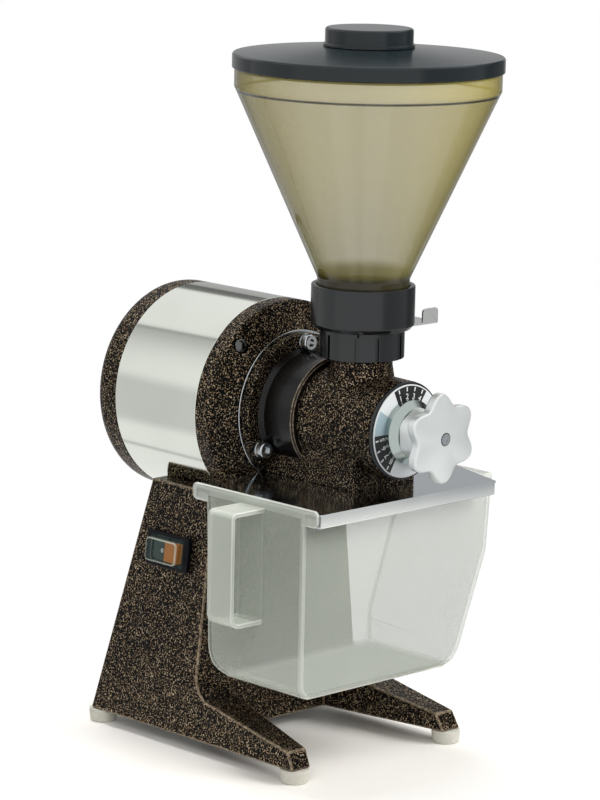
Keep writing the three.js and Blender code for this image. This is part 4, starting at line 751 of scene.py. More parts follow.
def addFloor(look):
    # The floor fades into the white world before it ends.
    finish = Finish("paleFloor")
    x, y = finish.axis("X"), finish.axis("Y")
    far = finish.maths("SQRT", x * x + y * y)
    material = finish.surface({
        "Base Color": paint(*look.colour), "Roughness": 0.7, "Specular IOR Level": 0.1,
        "Alpha": 1 - finish.between(far, look.fadeFrom, look.fadeTo)})
    half = look.half
    mesh = bpy.data.meshes.new("floor")
    mesh.from_pydata([(-half, -half, 0), (half, -half, 0), (half, half, 0), (-half, half, 0)], [],
        [(0, 1, 2, 3)])
    mesh.materials.append(material)
    floor = linked("floor", mesh)


def softBand(finish, angle, start, end):
    # 1 between two soft edges, of which either may be missing.
    share = finish.between(angle, *start) if start else 1
    return share * (1 - finish.between(angle, *end)) if end else share


def addFlags(look):
    # Grey flags that only shiny surfaces see. They dim the white background in places and add no light.
    finish = Finish("greyFlags")
    x, y, z = (finish.axis(letter) for letter in "XYZ")
    degrees = 360 / turn
    side = finish.maths("ARCTAN2", x, y) * degrees
    rise = finish.maths("ARCTAN2", z, finish.maths("SQRT", x * x + y * y)) * degrees
    ground = softBand(finish, rise, None, look.groundTop)
    for start, end in look.groundGaps:
        ground = ground * (1 - softBand(finish, side, start, end))
    light = 1 - ground * look.ground
    for taken, left, right, bottom, top in look.flags:
        flag = softBand(finish, side, left, right) * softBand(finish, rise, bottom, top)
        light = light * (1 - flag * taken)
    material = finish.surface({"Base Color": (0, 0, 0, 1), "Roughness": 1.0, "Specular IOR Level": 0.0,
        "Alpha": (1 - light).clipped()})
    mesh = bpy.data.meshes.new("flags")
    work = bmesh.new()
    bmesh.ops.create_uvsphere(work, u_segments=64, v_segments=32, radius=look.radius)
    work.to_mesh(mesh)
    work.free()
    mesh.materials.append(material)
    flags = linked("flags", mesh)
    flags.location.z = look.middle
    for kind in ("camera", "diffuse", "transmission", "shadow", "volume_scatter"):
        setattr(flags, "visible_" + kind, False)


addCamera(cameraLook)
addLamps(studioLook)
addWorld(studioLook)
addFloor(floorLook)
addFlags(flagLook)
print("camera and studio placed")


# Stand: one hollow casting with a saddle for the motor and two forward legs.
stand = Values({
    "halfWidth": 94.4, "topHalfWidth": 72, "bottom": 11, "top": 208.6, "rearBottom": 209, "rearTop": 162,
    "front": 88.5, "legFront": -29.2, "legTipTop": -22, "legTipHeight": 25, "legRootHeight": 41,
    "legRoot": 62, "filletRise": 21, "legInnerFront": 74.5, "legInnerRear": 54.7, "wall": 6, "ceiling": 172,
    "saddleRadius": 85.3, "saddleFront": 60, "saddleRear": 240, "edge": 1.5,
})
foot = Values({"spread": 85.3, "front": -22, "rear": 203.8, "top": 12, "bottom": 10.6, "height": 10.7,
    "stem": 2.6, "reach": 6})
switch = Values({
    "place": 132, "height": 154.5, "bezelLength": 49, "bezelHeight": 28, "bezelRise": 4, "openLength": 36,
    "openHeight": 19, "boxLength": 46, "boxHeight": 22, "boxDepth": 22, "lean": 7, "midRise": 6, "gap": 0.9,
    "keelWidth": 12, "keelDepth": 9, "boxPlay": 0.3, "corner": 2.5, "openCorner": 1.5,
})
hood = Values({"seat": -4.6, "flange": 0.8, "flangeLength": 40, "flangeHeight": 23, "length": 36,
    "height": 19, "rise": 7.6, "wall": 0.8})
standSlope = (stand.halfWidth - stand.topHalfWidth) / (stand.top - stand.bottom)
rearSlope = (stand.rearBottom - stand.rearTop) / (stand.top - stand.bottom)


def standHalf(z):
    return stand.halfWidth - standSlope * (z - stand.bottom)


def onHopperAxis(matrix):
    # A matrix in the dictionaries' frame, made to work on meshes that are already in place.
    return Matrix.Translation((hopperX, hopperY, 0)) @ matrix


def switchPlace():
    lean = math.atan(standSlope)
    spot = Vector((-standHalf(switch.height), switch.place, switch.height)) * mm
    return onHopperAxis(Matrix.Translation(spot) @ Matrix.Rotation(lean, 4, "Y"))


def addStand(size):
    slope = (size.legRootHeight - size.legTipHeight) / (size.legRoot - size.legTipTop)
    start = size.front - size.filletRise
    level = size.legTipHeight + slope * (start - size.legTipTop)
    curve = arc(start, level + size.filletRise, size.filletRise, 0, -90, 14)
    side = [(size.legFront, size.bottom), (size.rearBottom, size.bottom), (size.rearTop, size.top),
            (size.front, size.top)] + curve + [(size.legTipTop, size.legTipHeight)]
    casting = prism("standCasting", side, "X", -size.halfWidth, size.halfWidth, "hammered")
    frontView = [(-size.halfWidth, size.bottom), (size.halfWidth, size.bottom), (size.topHalfWidth, size.top),
        (-size.topHalfWidth, size.top)]
    carve(casting, [prism("wedge", frontView, "Y", size.legFront - 5, size.rearBottom + 5, "hammered")],
        "INTERSECT")
    spread = (size.legInnerFront - size.legInnerRear) / (size.front - size.legFront)
    mouth = size.legInnerFront + spread * 5
    between = [(-mouth, size.legFront - 5), (mouth, size.legFront - 5), (size.legInnerRear, size.front),
        (-size.legInnerRear, size.front)]
    carve(casting, [prism("between", between, "Z", size.bottom - 5, size.top + 5, "hammered")])
    # The rounded edges take the worn edge finish, lightened as a painted highlight.
    soften(casting, size.edge, 3, 38, "wornEdgeAndHighlight")
    low, wall, ceiling = size.bottom - 3, size.wall, size.ceiling
    rearInside = [size.rearBottom - rearSlope * (z - size.bottom) - wall for z in (low, ceiling)]
    hollow = prism("hollow", [(size.front + wall, low), (rearInside[0], low), (rearInside[1], ceiling),
        (size.front + wall, ceiling)], "X", -size.halfWidth, size.halfWidth, "smoothPaint")
    inside = [standHalf(z) - wall for z in (low, ceiling)]
    carve(hollow, [prism("inside", [(-inside[0], low), (inside[0], low), (inside[1], ceiling),
        (-inside[1], ceiling)], "Y", size.front, size.rearBottom, "smoothPaint")], "INTERSECT")
    saddle = onAxle("saddle", rodLine(size.saddleRadius, size.saddleFront, size.saddleRear), "smoothPaint")
    deep, play = switch.boxDepth, switch.boxPlay
    long, high = switch.boxLength / 2 + play, switch.boxHeight / 2 + play
    well = blank("well", [(x, y, z) for x in (-deep, deep) for y in (-long, long) for z in (-high, high)],
        boxFaces, "smoothPaint", True)
    carve(casting, [hollow, saddle, moved(well, switchPlace())])
    dress(casting, "machine", ["stand_casting"])


def addFeet(size):
    pattern = turned("footPattern", [(0, 0), (size.bottom, 0, 1.4), (size.top - 0.3, size.height * 0.8, 3),
        (size.top - 0.6, size.height, 0.5), (size.stem, size.height), (size.stem, size.height + size.reach),
        (0, size.height + size.reach)], "rubber", sides=48, atOrigin=True)
    spots = [(x, y, 0) for y in (size.front, size.rear) for x in (-size.spread, size.spread)]
    places = blank("footPlaces", spots, [], "rubber")
    feet = grow("rubberFeet", trees["onPoints"], {"Piece": pattern, "Finish": finishes["rubber"]}, places)
    discard(pattern, places)
    dress(feet, "machine", ["rubber_foot_%d" % (i + 1) for i in range(4)])


def addSwitch(size):
    frameMatrix = switchPlace()
    length, height, rise = size.bezelLength / 2, size.bezelHeight / 2, size.bezelRise
    outer = rectangle(-length, length, -height, height, size.corner, 6)
    bezel = prism("switchBezel", outer, "X", -rise - 0.3, -0.3, "switchBlack", True)
    soften(bezel, 0.7, 3, 50)
    halfBox, tallBox = size.boxLength / 2, size.boxHeight / 2
    box = prism("switchBox", rectangle(-halfBox, halfBox, -tallBox, tallBox), "X", -1.2, size.boxDepth,
        "switchBlack", True)
    carve(bezel, [box], "UNION")
    half, high = size.openLength / 2, size.openHeight / 2
    window = rectangle(-half, half, -high, high, size.openCorner)
    carve(bezel, [prism("window", window, "X", -rise * 3, size.boxDepth - 3, "switchBlack", True)])
    moved(bezel, frameMatrix)
    dress(bezel, "machine", ["switch_housing"])

    reach = half - 2 * size.gap
    tall = high - 1.5 * size.gap
    crest = size.midRise + size.gap
    lens = prism("switchLens", [(0, -reach), (0, 0), (-crest, 0), (-size.midRise, -reach)], "Z", -tall, tall,
        "amber", True)
    # The paddle half is coloured as a painted bluish reflection.
    paddle = prism("switchPaddle", [(0, 0), (0, reach), (-size.midRise, reach), (-crest, 0)], "Z", -tall,
        tall, "paddlePaintedReflection", True)
    keelHalf = size.keelWidth / 2
    keel = prism("keel", rectangle(-size.gap, size.keelDepth, -keelHalf, keelHalf), "Z", -tall * 0.9,
        tall * 0.9, "switchBlack", True)
    soften(lens, 0.5, 3, 40)
    soften(paddle, 0.5, 3, 40)
    mark = stepped(0.9, 0, 1.7, 0.15, 0.9)
    ring = turned("offMark", mark, "dialWhite", "Z", 32, atOrigin=True, steps=1)
    spot = Vector((-size.midRise - 0.75, 2.6, 0)) * mm
    moved(ring, Matrix.Translation(spot) @ Matrix.Rotation(-math.pi / 2, 4, "Y"))
    whole = gathered("switchRocker", [lens, paddle, keel, ring])
    moved(whole, frameMatrix @ Matrix.Rotation(-math.radians(size.lean), 4, "Z"))
    dress(whole, "rocker", ["switch_rocker"])


def addHood(size):
    # Soft clear cover over the rocker.
    def layer(name, length, height, corner, near, far, finish="hood"):
        outline = rectangle(-length / 2, length / 2, -height / 2, height / 2, corner, 6)
        return prism(name, outline, "X", near, far, finish, True)

    seat, wall = size.seat, size.wall
    dome = layer("switchHood", size.length, size.height, 4, seat - size.rise, seat)
    # The rounded edge takes a painted edge highlight.
    soften(dome, 1.2, 4, 50, "hoodPaintedEdgeHighlight")
    flange = layer("flange", size.flangeLength, size.flangeHeight, 3, seat - size.flange, seat)
    carve(dome, [flange], "UNION")
    hollow = layer("hoodHollow", size.length - 2 * wall, size.height - 2 * wall, 3.2, seat - size.rise + wall,
        seat + wall)
    carve(dome, [hollow])
    moved(dome, switchPlace())
    dress(dome, "machine", ["switch_hood"])


addStand(stand)
addFeet(foot)
addSwitch(switch)
addHood(hood)
print("stand, feet and switch made")


# Motor
motor = Values({
    "radius": 85, "wall": 1.2, "land": 62.5, "face": 74, "cone": 83, "coneRadius": 83.5, "band": 84.5,
    "bandEnd": 98.5, "sleeveFront": 98.8, "sleeveRear": 193.8, "capFront": 194.1, "capCorner": 207.5,
    "capRear": 221.5, "corner": 14, "spigot": 83.5, "spigotLength": 5.3, "spigotWall": 3.5, "pocket": 22.3,
    "pocketWall": 28, "shieldWall": 8, "frontPocketFloor": 78, "frontPocketEnd": 91.9,
    "rearPocketFloor": 213.7, "rearPocketEnd": 200.1, "shaftHole": 12,
})
clampRing = Values({"inner": 48, "outer": 62.3, "front": 72.3, "rear": 73.7})
plug = Values({"count": 3, "circle": 76.5, "first": 135, "radius": 5.8, "pocket": 6.1, "rise": 3.6,
    "seat": 84.5, "tail": 3.6, "pocketEnds": (-12, 10.2)})
vent = Values({"count": 8, "inner": 42, "outer": 66, "width": 6, "corner": 2.9, "first": 22.5})


def addMotor(size):
    inside = size.radius - size.wall
    profile = stepped(inside, size.sleeveFront, size.radius, size.sleeveRear, inside,
        corners=(0.3, 0.4, 0.4, 0.3))
    sleeve = onAxle("motorSleeve", profile, "sleeveSteel", sides=192)
    dress(sleeve, "machine", ["motor_sleeve"])

    inner = size.spigot - size.spigotWall
    shield = onAxle("motorFrontShield", [(size.shaftHole, size.face), (size.land, size.face, 2),
        (size.coneRadius, size.cone, 1.6), (size.radius, size.band + 0.4, 0.8),
        (size.radius, size.bandEnd, 0.6), (size.spigot, size.bandEnd),
        (size.spigot, size.bandEnd + size.spigotLength), (inner, size.bandEnd + size.spigotLength),
        (inner, size.band + size.shieldWall, 2), (size.land, size.face + size.shieldWall),
        (size.pocketWall, size.face + size.shieldWall), (size.pocketWall, size.frontPocketEnd),
        (size.pocket, size.frontPocketEnd), (size.pocket, size.frontPocketFloor),
        (size.shaftHole, size.frontPocketFloor)], "hammered", sides=192)
    pattern = turned("pocketPattern", rodLine(plug.pocket, *plug.pocketEnds), "smoothPaint", "Y", 40,
        atOrigin=True)
    moved(pattern, Matrix.Translation((0, size.face * mm, 0)))
    pockets = roundAxle("pockets", pattern, plug.count, plug.circle, plug.first, "smoothPaint")
    carve(shield, [pockets])
    dress(shield, "machine", ["motor_front_shield"])

    coneSlope = (size.cone - size.face) / (size.coneRadius - size.land)
    faceAtPlug = size.face + coneSlope * (plug.circle - size.land)
    r, rise = plug.radius, plug.rise
    pattern = turned("plugPattern", [(0, faceAtPlug - rise), (r * 0.45, faceAtPlug - rise * 0.92, 3),
        (r * 0.86, faceAtPlug - rise * 0.5, 3), (r, faceAtPlug - 0.2, 1), (r, plug.seat - plug.tail),
        (0, plug.seat - plug.tail)], "plugBlack", "Y", 40, atOrigin=True)
    plugs = roundAxle("shieldPlugs", pattern, plug.count, plug.circle, plug.first, "plugBlack")
    dress(plugs, "machine", ["shield_plug_1", "shield_plug_2", "shield_plug_3"])

    centre, wall = size.radius - size.corner, 3.5
    innerCorner = size.corner - wall
    lipEnd = size.capFront - size.spigotLength
    cap = onAxle("motorRearCap", [
        (0, size.capRear), *arc(centre, size.capCorner, size.corner, 90, 0, 12),
        (size.radius, size.capFront, 0.6), (size.spigot, size.capFront), (size.spigot, lipEnd),
        (inner, lipEnd), *arc(centre, size.capCorner, innerCorner, 0, 90, 8),
        (size.pocketWall, size.capRear - wall), (size.pocketWall, size.rearPocketEnd),
        (size.pocket, size.rearPocketEnd), (size.pocket, size.rearPocketFloor),
        (0, size.rearPocketFloor)], "hammered", sides=160)
    slot = rectangle(vent.inner, vent.outer, -vent.width / 2, vent.width / 2, vent.corner)
    pattern = prism("ventPattern", slot, "Y", size.capRear - 8, size.capRear + 4, "smoothPaint", True)
    vents = roundAxle("vents", pattern, vent.count, 0, vent.first, "smoothPaint", 1)
    carve(cap, [vents])
    dress(cap, "machine", ["motor_rear_cap"])

    profile = stepped(clampRing.inner, clampRing.front, clampRing.outer, clampRing.rear, clampRing.inner,
        corners=(0, 0.5, 0.5))
    ring = onAxle("clampRing", profile, "zinc", sides=160)
    dress(ring, "machine", ["clamp_ring"])


addMotor(motor)
print("motor made")


# Grinding head
head = Values({
    "flangeRadius": 60.3, "flangeFront": 64, "flangeRear": 72, "drumRadius": 46.6, "drumFront": 29,
    "barrelRear": 41.3, "barrelRadius": 38.8, "barrelFront": -47.7, "bore": 34.3, "neck": 24.4,
    "neckTop": 340, "throat": 18, "pedestalHalf": 34.5, "pedestalFront": -28, "pedestalBottom": 224.5,
    "flangeLevel": 226.9, "outletHalf": 14, "outletFront": 35.5, "outletRear": 51.5, "seam": 0.5,
    "drumFillet": 3.4, "drumRear": 71.1, "neckRoot": 273.3, "pedestalRear": 70.3, "pedestalTop": 254,
    "chamber": 41.3, "shaftHole": 12, "neckFlare": 3, "neckFlareTop": 300, "neckStraight": 318,
    "boreEnds": (-60, 35), "chamberEnds": (34, 57), "shaftHoleEnds": (50, 80), "throatTop": 350,
})
bodyBolt = Values({
    "count": 3, "circle": 54, "first": 90, "front": 62.3, "washer": 7, "washerThick": 1.4, "head": 6.6,
    "headRise": 6.2, "socket": 3, "socketFloor": 4, "shank": 3, "reach": 19,
})


def addHead(size):
    profile = stepped(0, size.flangeFront, size.flangeRadius, size.flangeRear, 0, corners=(0, 1.2, 0.8))
    flange = onAxle("grinderBody", profile, "hammered", sides=160)
    carve(flange, [block(-70, 70, 50, 80, 200, size.flangeLevel)])
    barrel = onAxle("barrel", [
        (0, size.barrelFront), (size.barrelRadius, size.barrelFront, 1.2),
        (size.barrelRear, size.drumFront + 2), (0, size.drumFront + 2)], "hammered", sides=128)
    drumFoot = size.drumRadius + size.drumFillet
    drum = onAxle("drum", [(0, size.drumFront), (size.drumRadius - 1.6, size.drumFront),
        (size.drumRadius, size.drumFront + 1.6), (size.drumRadius, size.flangeFront - size.drumFillet, 3),
        (drumFoot, size.flangeFront + 0.6), (drumFoot, size.drumRear), (0, size.drumRear)], "smoothPaint",
        sides=144)
    # The drum's rim edges take the worn edge finish, lightened as a painted highlight.
    soften(drum, 0.5, 2, 30, "wornEdgeAndHighlight")
    neck = turned("neck", [(0, size.neckRoot), (size.neck + size.neckFlare, size.neckFlareTop),
        (size.neck, size.neckStraight, 8), (size.neck, size.neckTop, 0.5), (0, size.neckTop)], "hammered",
        sides=96)
    half = size.pedestalHalf
    footprint = rounded([(-half, size.pedestalFront, 2), (half, size.pedestalFront, 2),
        (half, size.pedestalRear), (-half, size.pedestalRear)], True, 4)
    pedestal = prism("pedestal", footprint, "Z", size.pedestalBottom, size.pedestalTop, "hammered")
    seam = block(-1 - size.seam / 2, -1 + size.seam / 2, size.pedestalFront - size.seam, -20,
        size.pedestalBottom + 0.3, 250)
    carve(flange, [drum, barrel, neck, pedestal, seam], "UNION")
    bores = [
        onAxle("bore", rodLine(size.bore, *size.boreEnds), "smoothPaint", sides=96),
        onAxle("chamber", rodLine(size.chamber, *size.chamberEnds), "smoothPaint", sides=96),
        onAxle("shaftHole", rodLine(size.shaftHole, *size.shaftHoleEnds), "smoothPaint", sides=48),
        turned("throat", rodLine(size.throat, axleHeight, size.throatTop), "smoothPaint", sides=64),
        block(-size.outletHalf, size.outletHalf, size.outletFront, size.outletRear, 220, size.pedestalTop,
        "smoothPaint"),
    ]
    carve(flange, bores)
    dress(flange, "machine", ["grinder_body"])

    bolt = bodyBolt
    seat, tip = bolt.front, bolt.front - bolt.headRise
    profile = stepped(0, seat - bolt.socketFloor, bolt.socket, tip, bolt.head, seat, bolt.washer,
        seat + bolt.washerThick, bolt.shank, seat + bolt.reach, 0, corners=(0, 0, 0.4, 1.2, 0.2, 0.4, 0.3))
    pattern = turned("boltPattern", profile, "zinc", "Y", 48, atOrigin=True)
    bolts = roundAxle("bodyBolts", pattern, bolt.count, bolt.circle, bolt.first, "zinc")
    dress(bolts, "machine", ["body_bolt_1", "body_bolt_2", "body_bolt_3"])


dial = Values({
    "radius": 36.6, "hole": 7.3, "front": -51.3, "rear": -50.3, "inner": 23.4, "outer": 35.6, "rise": 0.12,
    "sectors": [(55, 115), (180, 240)], "blue": (147, 180),
    "ticks": [(62, 77, 92, 107), (232, 217, 202, 187)], "tickRadius": 31.6, "tickLength": 3.2,
    "tickWidth": 1.1, "numberRadius": 27.4, "numberSize": 6.4,
})
collar = Values({"radius": 25.2, "front": -61.4, "rear": -51.6, "hole": 7.3, "cone": 5.5, "coneDepth": 5})
cover = Values({"radius": 38.5, "front": -50, "rear": -48, "hole": 7.3, "spigot": 34, "spigotEnd": -43})


def ringSector(name, start, end, inner, outer, front, rise, finish):
    steps = max(2, int((end - start) / 3))
    outline = arc(0, axleHeight, outer, start, end, steps) + arc(0, axleHeight, inner, end, start, steps)
    return prism(name, outline, "Y", front - rise, front + rise, finish)


def numberMark(text, angle, look):
    curve = bpy.data.curves.new("number" + text, "FONT")
    curve.body = text
    curve.size = look.numberSize * mm
    curve.align_x = "CENTER"
    curve.align_y = "CENTER"
    curve.extrude = look.rise * mm
    curve.resolution_u = 4
    holder = linked("number" + text, curve)
    graph = bpy.context.evaluated_depsgraph_get()
    mesh = bpy.data.meshes.new_from_object(holder.evaluated_get(graph), depsgraph=graph)
    bpy.data.objects.remove(holder)
    bpy.data.curves.remove(curve)
    mesh.materials.clear()
    mesh.materials.append(finishes["dialWhite"])
    radians = math.radians(angle)
    spot = Vector((math.cos(radians) * look.numberRadius, look.front - 2 * look.rise,
        axleHeight + math.sin(radians) * look.numberRadius)) * mm
    tilt = Matrix.Rotation(math.pi / 2 - radians, 4, "Y")
    upright = Matrix.Rotation(math.pi / 2, 4, "X")
    mesh.transform(onHopperAxis(Matrix.Translation(spot) @ tilt @ upright))
    return linked(mesh.name, mesh)


def addDial(size):
    disc = stepped(size.hole, size.front, size.radius, size.rear, size.hole, corners=(0, 0.3, 0.2))
    parts = [onAxle("dialDisc", disc, "dialWhite")]
    for (start, end), ticks in zip(size.sectors, size.ticks):
        parts.append(ringSector("sector", start, end, size.inner, size.outer, size.front, size.rise,
            "dialBlack"))
        for angle in ticks:
            spread = math.degrees(size.tickWidth / 2 / size.tickRadius)
            parts.append(ringSector("tick", angle - spread, angle + spread, size.tickRadius,
                size.tickRadius + size.tickLength, size.front - size.rise, size.rise, "dialWhite"))
    parts.append(ringSector("blueField", *size.blue, size.inner, size.outer, size.front, size.rise / 2,
        "dialBlue"))
    allTicks = [angle for ticks in size.ticks for angle in reversed(ticks)]
    for i, angle in enumerate(allTicks):
        parts.append(numberMark(str(i + 1), angle, size))
    plate = gathered("dialPlate", parts)
    dress(plate, "machine", ["dial_plate"])

    ring = onAxle("indexCollar", [(collar.hole, collar.front),
        (collar.radius - collar.cone, collar.front, 0.5),
        (collar.radius, collar.front + collar.coneDepth, 0.6), (collar.radius, collar.rear, 0.4),
        (collar.hole, collar.rear)], "turnedSteel")
    dress(ring, "setting_knob", ["index_collar"])
    profile = stepped(cover.hole, cover.front, cover.radius, cover.rear, cover.spigot, cover.spigotEnd,
        cover.hole, corners=(0, 0.6, 0.3))
    lip = onAxle("barrelCover", profile, "black")
    dress(lip, "machine", ["barrel_cover"])


knob = Values({
    "front": -93, "rear": -82, "hubRear": -61.7, "hub": 20, "hubFront": 18, "rim": 31.6, "swing": 4,
    "lobes": 6, "first": 34, "edge": 2.2, "recess": 5.2, "recessDepth": 4, "hole": 3.2, "crown": 2.6,
})


def addKnob(size):
    rings = [
        (size.hole, size.front + size.recessDepth), (size.recess, size.front + size.recessDepth),
        (size.recess, size.front, 0.6), (size.hub, size.front + 0.6),
        (size.rim, size.front + size.crown, size.edge), (size.rim, size.rear, size.edge),
        (size.hubFront + 3, size.rear), (size.hubFront, size.rear + 3, 1), (size.hub, size.hubRear, 0.8),
        (size.hole, size.hubRear),
    ]
    start = onAxle("knobBlank", rings, "castAluminium", sides=180)
    piece = grow("starKnob", trees["lobedRim"], {
        "Lobes": float(size.lobes), "Swing": size.swing * mm, "First Angle": math.radians(size.first),
        "Inner Radius": size.hubFront * mm, "Rim Radius": (size.rim - size.edge) * mm, "Centre": axleCentre,
        "Finish": finishes["castAluminium"]}, start)
    discard(start)
    dress(piece, "setting_knob", ["star_knob"])


addHead(head)
addDial(dial)
addKnob(knob)
print("grinding head, dial and knob made")


# Folded plate that carries the drawer
plate = Values({
    "top": 224.2, "sheet": 1.5, "left": -109.6, "front": -70, "rear": 71, "corner": 84, "apex": 105,
    "apexHalf": 2, "fold": 11, "lip": 11, "holeHalf": 15, "holeFront": 34.5, "holeRear": 52.5,
})


def addPlate(size):
    middle = (size.front + size.rear) / 2
    outline = [(size.left, size.front, 2), (size.corner, size.front, 3),
        (size.apex, middle - size.apexHalf, 3), (size.apex, middle + size.apexHalf, 3),
        (size.corner, size.rear, 3), (size.left, size.rear, 2)]
    sheet = prism("drawerPlate", rounded(outline, True, 4), "Z", size.top - size.sheet, size.top,
        "plateSteel")
    folds = []
    for edge, inward in ((size.front, 1), (size.rear, -1)):
        depth = size.lip * inward
        wall = size.sheet * inward
        low = size.top - size.fold
        hook = rounded([
            (edge, size.top, 1.4), (edge, low, 1.4), (edge + depth, low), (edge + depth, low + size.sheet),
            (edge + wall, low + size.sheet, 0.4), (edge + wall, size.top - size.sheet / 2),
            (edge + depth, size.top - size.sheet / 2), (edge + depth, size.top)], True, 4)
        folds.append(prism("fold", hook, "X", size.left, size.corner - 2, "plateSteel"))
    carve(sheet, folds, "UNION")
    carve(sheet, [block(-size.holeHalf, size.holeHalf, size.holeFront, size.holeRear, 200, 240,
        "plateSteel")])
    dress(sheet, "machine", ["drawer_plate"])


# Clear drawer
tray = Values({
    "left": -113, "front": -54.6, "rear": 55, "draft": 5, "bottom": 75, "wall": 2.6, "leftWall": 2.8,
    "top": 222.2, "rearFillet": 27, "frontFillet": 5, "leftFillet": 14, "pourFillet": 26, "pourSlope": 0.377,
    "pourReach": 91.8, "pourLevel": 162.7, "spoutStart": 61, "spoutHalf": 38.5, "spoutLow": 163,
    "rimGap": 1.1, "rim": 2.6, "rimDrop": 7.2, "rimLip": 2.4, "capBottom": 213.6, "capTop": 227,
    "capBead": 4.5, "corner": 3.2, "innerCorner": 1,
})
grip = Values({"front": -12, "rear": 15, "reach": 34, "top": 220, "bottom": 129, "sheet": 3.6, "outer": 10,
    "inner": 6, "rib": 1.6, "ribRise": 1.2, "ribBottom": 124})


def drawerBlank(name, inset, leftInset, top):
    size = tray
    under = plate.top - plate.sheet

    def rearAt(z):
        return size.rear - inset - size.draft * (under - z) / (under - size.bottom)

    def pourAt(z):
        slope = size.pourSlope
        return size.pourReach - inset * math.hypot(1, slope) + slope * (z - size.pourLevel)

    floor, front = size.bottom + inset, size.front + inset
    rear, small = size.rearFillet - inset, max(size.frontFillet - inset, 0.5)
    filletTop = floor + size.rearFillet - inset
    section = arc(front + small, floor + small, small, 180, 270, 5) + arc(
        rearAt(filletTop) - rear, floor + rear, rear, 270, 360, 12) + [(rearAt(top), top), (front, top)]
    lean = math.degrees(math.atan(size.pourSlope))
    pour = size.pourFillet - inset
    centre = pourAt(floor + pour) - pour * math.hypot(1, size.pourSlope)
    left = size.left + leftInset
    low = max(size.leftFillet - leftInset, 0.5)
    side = arc(left + low, floor + low, low, 180, 270, 8) + arc(
        centre, floor + pour, pour, 270, 360 - lean, 10) + [(pourAt(top), top), (left, top)]
    body = prism(name, section, "X", size.left - 5, pourAt(top) + 5, "clear")
    carve(body, [prism("side", side, "Y", size.front - 5, size.rear + 5, "clear")], "INTERSECT")
    return carve(body, [spoutCut(way, inset) for way in (-1, 1)])


def spoutCut(way, inset):
    # The top corners of the pouring end are cut off on the slant.
    size = tray
    under = plate.top - plate.sheet
    wall = size.front if way < 0 else size.rear
    start = Vector((size.spoutStart, wall, under))
    end = Vector((size.pourReach + size.pourSlope * (under - size.pourLevel), way * size.spoutHalf, under))
    low = Vector((size.pourReach + size.pourSlope * (size.spoutLow - size.pourLevel), wall, size.spoutLow))
    along = (end - start).normalized()
    outward = along.cross(low - start).normalized()
    if outward.y * way < 0:
        outward.negate()
    up = outward.cross(along)
    corner = start - outward * inset
    ends = (-200, 200)
    points = [corner + along * a + up * b + outward * c for a in ends for b in ends for c in (0, 200)]
    return blank("spoutCut", points, boxFaces, "clear")


def addDrawer(size, loop):
    top = size.top
    shell = drawerBlank("drawer", 0, 0, top)
    # Outer corner bevels get a painted sheen, inner corner bevels a painted edge highlight.
    soften(shell, size.corner, 4, 45, "clearThickAndSheen")
    hollow = drawerBlank("drawerHollow", size.wall, size.leftWall, top + 3)
    soften(hollow, size.innerCorner, 3, 45, "clearPaintedEdgeHighlight")
    carve(shell, [hollow])
    rimEnd = size.left + size.leftWall / 2
    frontRim = plate.front + plate.sheet + size.rimGap
    rearRim = plate.rear - plate.sheet - size.rimGap
    rims = [
        (frontRim, size.front + size.wall / 2, top - size.rim),
        (frontRim, frontRim + size.rimLip, top - size.rimDrop),
        (size.rear - size.wall / 2, rearRim, top - size.rim),
        (rearRim - size.rimLip, rearRim, top - size.rimDrop),
    ]
    blocks = [block(rimEnd, size.spoutStart, *rim, top, "clear") for rim in rims]
    capFront, capRear = plate.front + size.rimGap, plate.rear - size.rimGap
    outline = rectangle(capFront, capRear, size.capBottom, size.capTop, size.capBead, 6)
    cap = prism("drawerCap", outline, "X", size.left, size.left + size.leftWall, "clearThickAndSheen")
    soften(cap, 0.9, 3, 50, "clearPaintedEdgeHighlight")
    outerX = size.left - loop.reach
    root = size.left + size.leftWall / 2
    outside = rounded([(root, loop.bottom), (root, loop.top), (outerX, loop.top, 5),
        (outerX, loop.bottom, loop.outer)], True, 8)
    band = prism("gripBand", outside, "Y", loop.front, loop.rear, "clearThickAndSheen")
    innerX, low, high = outerX + loop.sheet, loop.bottom + loop.sheet, loop.top - loop.sheet
    corners = [(root + 5, low), (root + 5, high), (innerX, high, 2), (innerX, low, loop.inner)]
    inside = rounded(corners, True, 8)
    carve(band, [prism("fingerGap", inside, "Y", loop.front - 5, loop.rear + 5, "clear")])
    soften(band, 0.8, 3, 50, "clearPaintedEdgeHighlight")
    ribs = [block(size.left - loop.ribRise, root, y, y + loop.rib, loop.ribBottom, size.capBottom + 3,
        "clear") for y in (loop.front, loop.rear - loop.rib)]
    carve(shell, blocks + [cap, band] + ribs, "UNION")
    dress(shell, "drawer", ["drawer"])


addPlate(plate)
addDrawer(tray, grip)
print("plate and drawer made")


# Hopper with its mount and lid
ribbed = Values({
    "radius": 33.3, "bottom": 324, "top": 346.5, "bore": 24.7, "throat": 18, "floor": 340.3, "slots": 10,
    "depth": 2.4, "width": 2.6, "share": 44 / 72, "first": -42, "lip": 3.4,
})
cup = Values({"radius": 40.7, "top": 380.9, "low": 37.6, "bottom": 346.8, "chamfer": 3.6, "bore": 36.6,
    "floor": 352.6, "hole": 24})
gate = Values({"half": 28, "sheet": 1.6, "front": 30, "reach": 56, "lift": 348, "earLength": 17,
    "earHeight": 12.5, "ear": 3, "play": 0.35})
hopper = Values({"spigot": 36.2, "bottom": 353, "spigotTop": 386, "wall": 2.4, "cone": 531,
    "coneRadius": 102.1, "band": 103.3, "top": 547.6, "outlet": 22})
lid = Values({"radius": 105.2, "bottom": 547.9, "top": 559.3, "crown": 565.3, "sheet": 2.4, "skirt": 545.4,
    "skirtOuter": 100.3, "skirtInner": 98.3, "hole": 3.4})
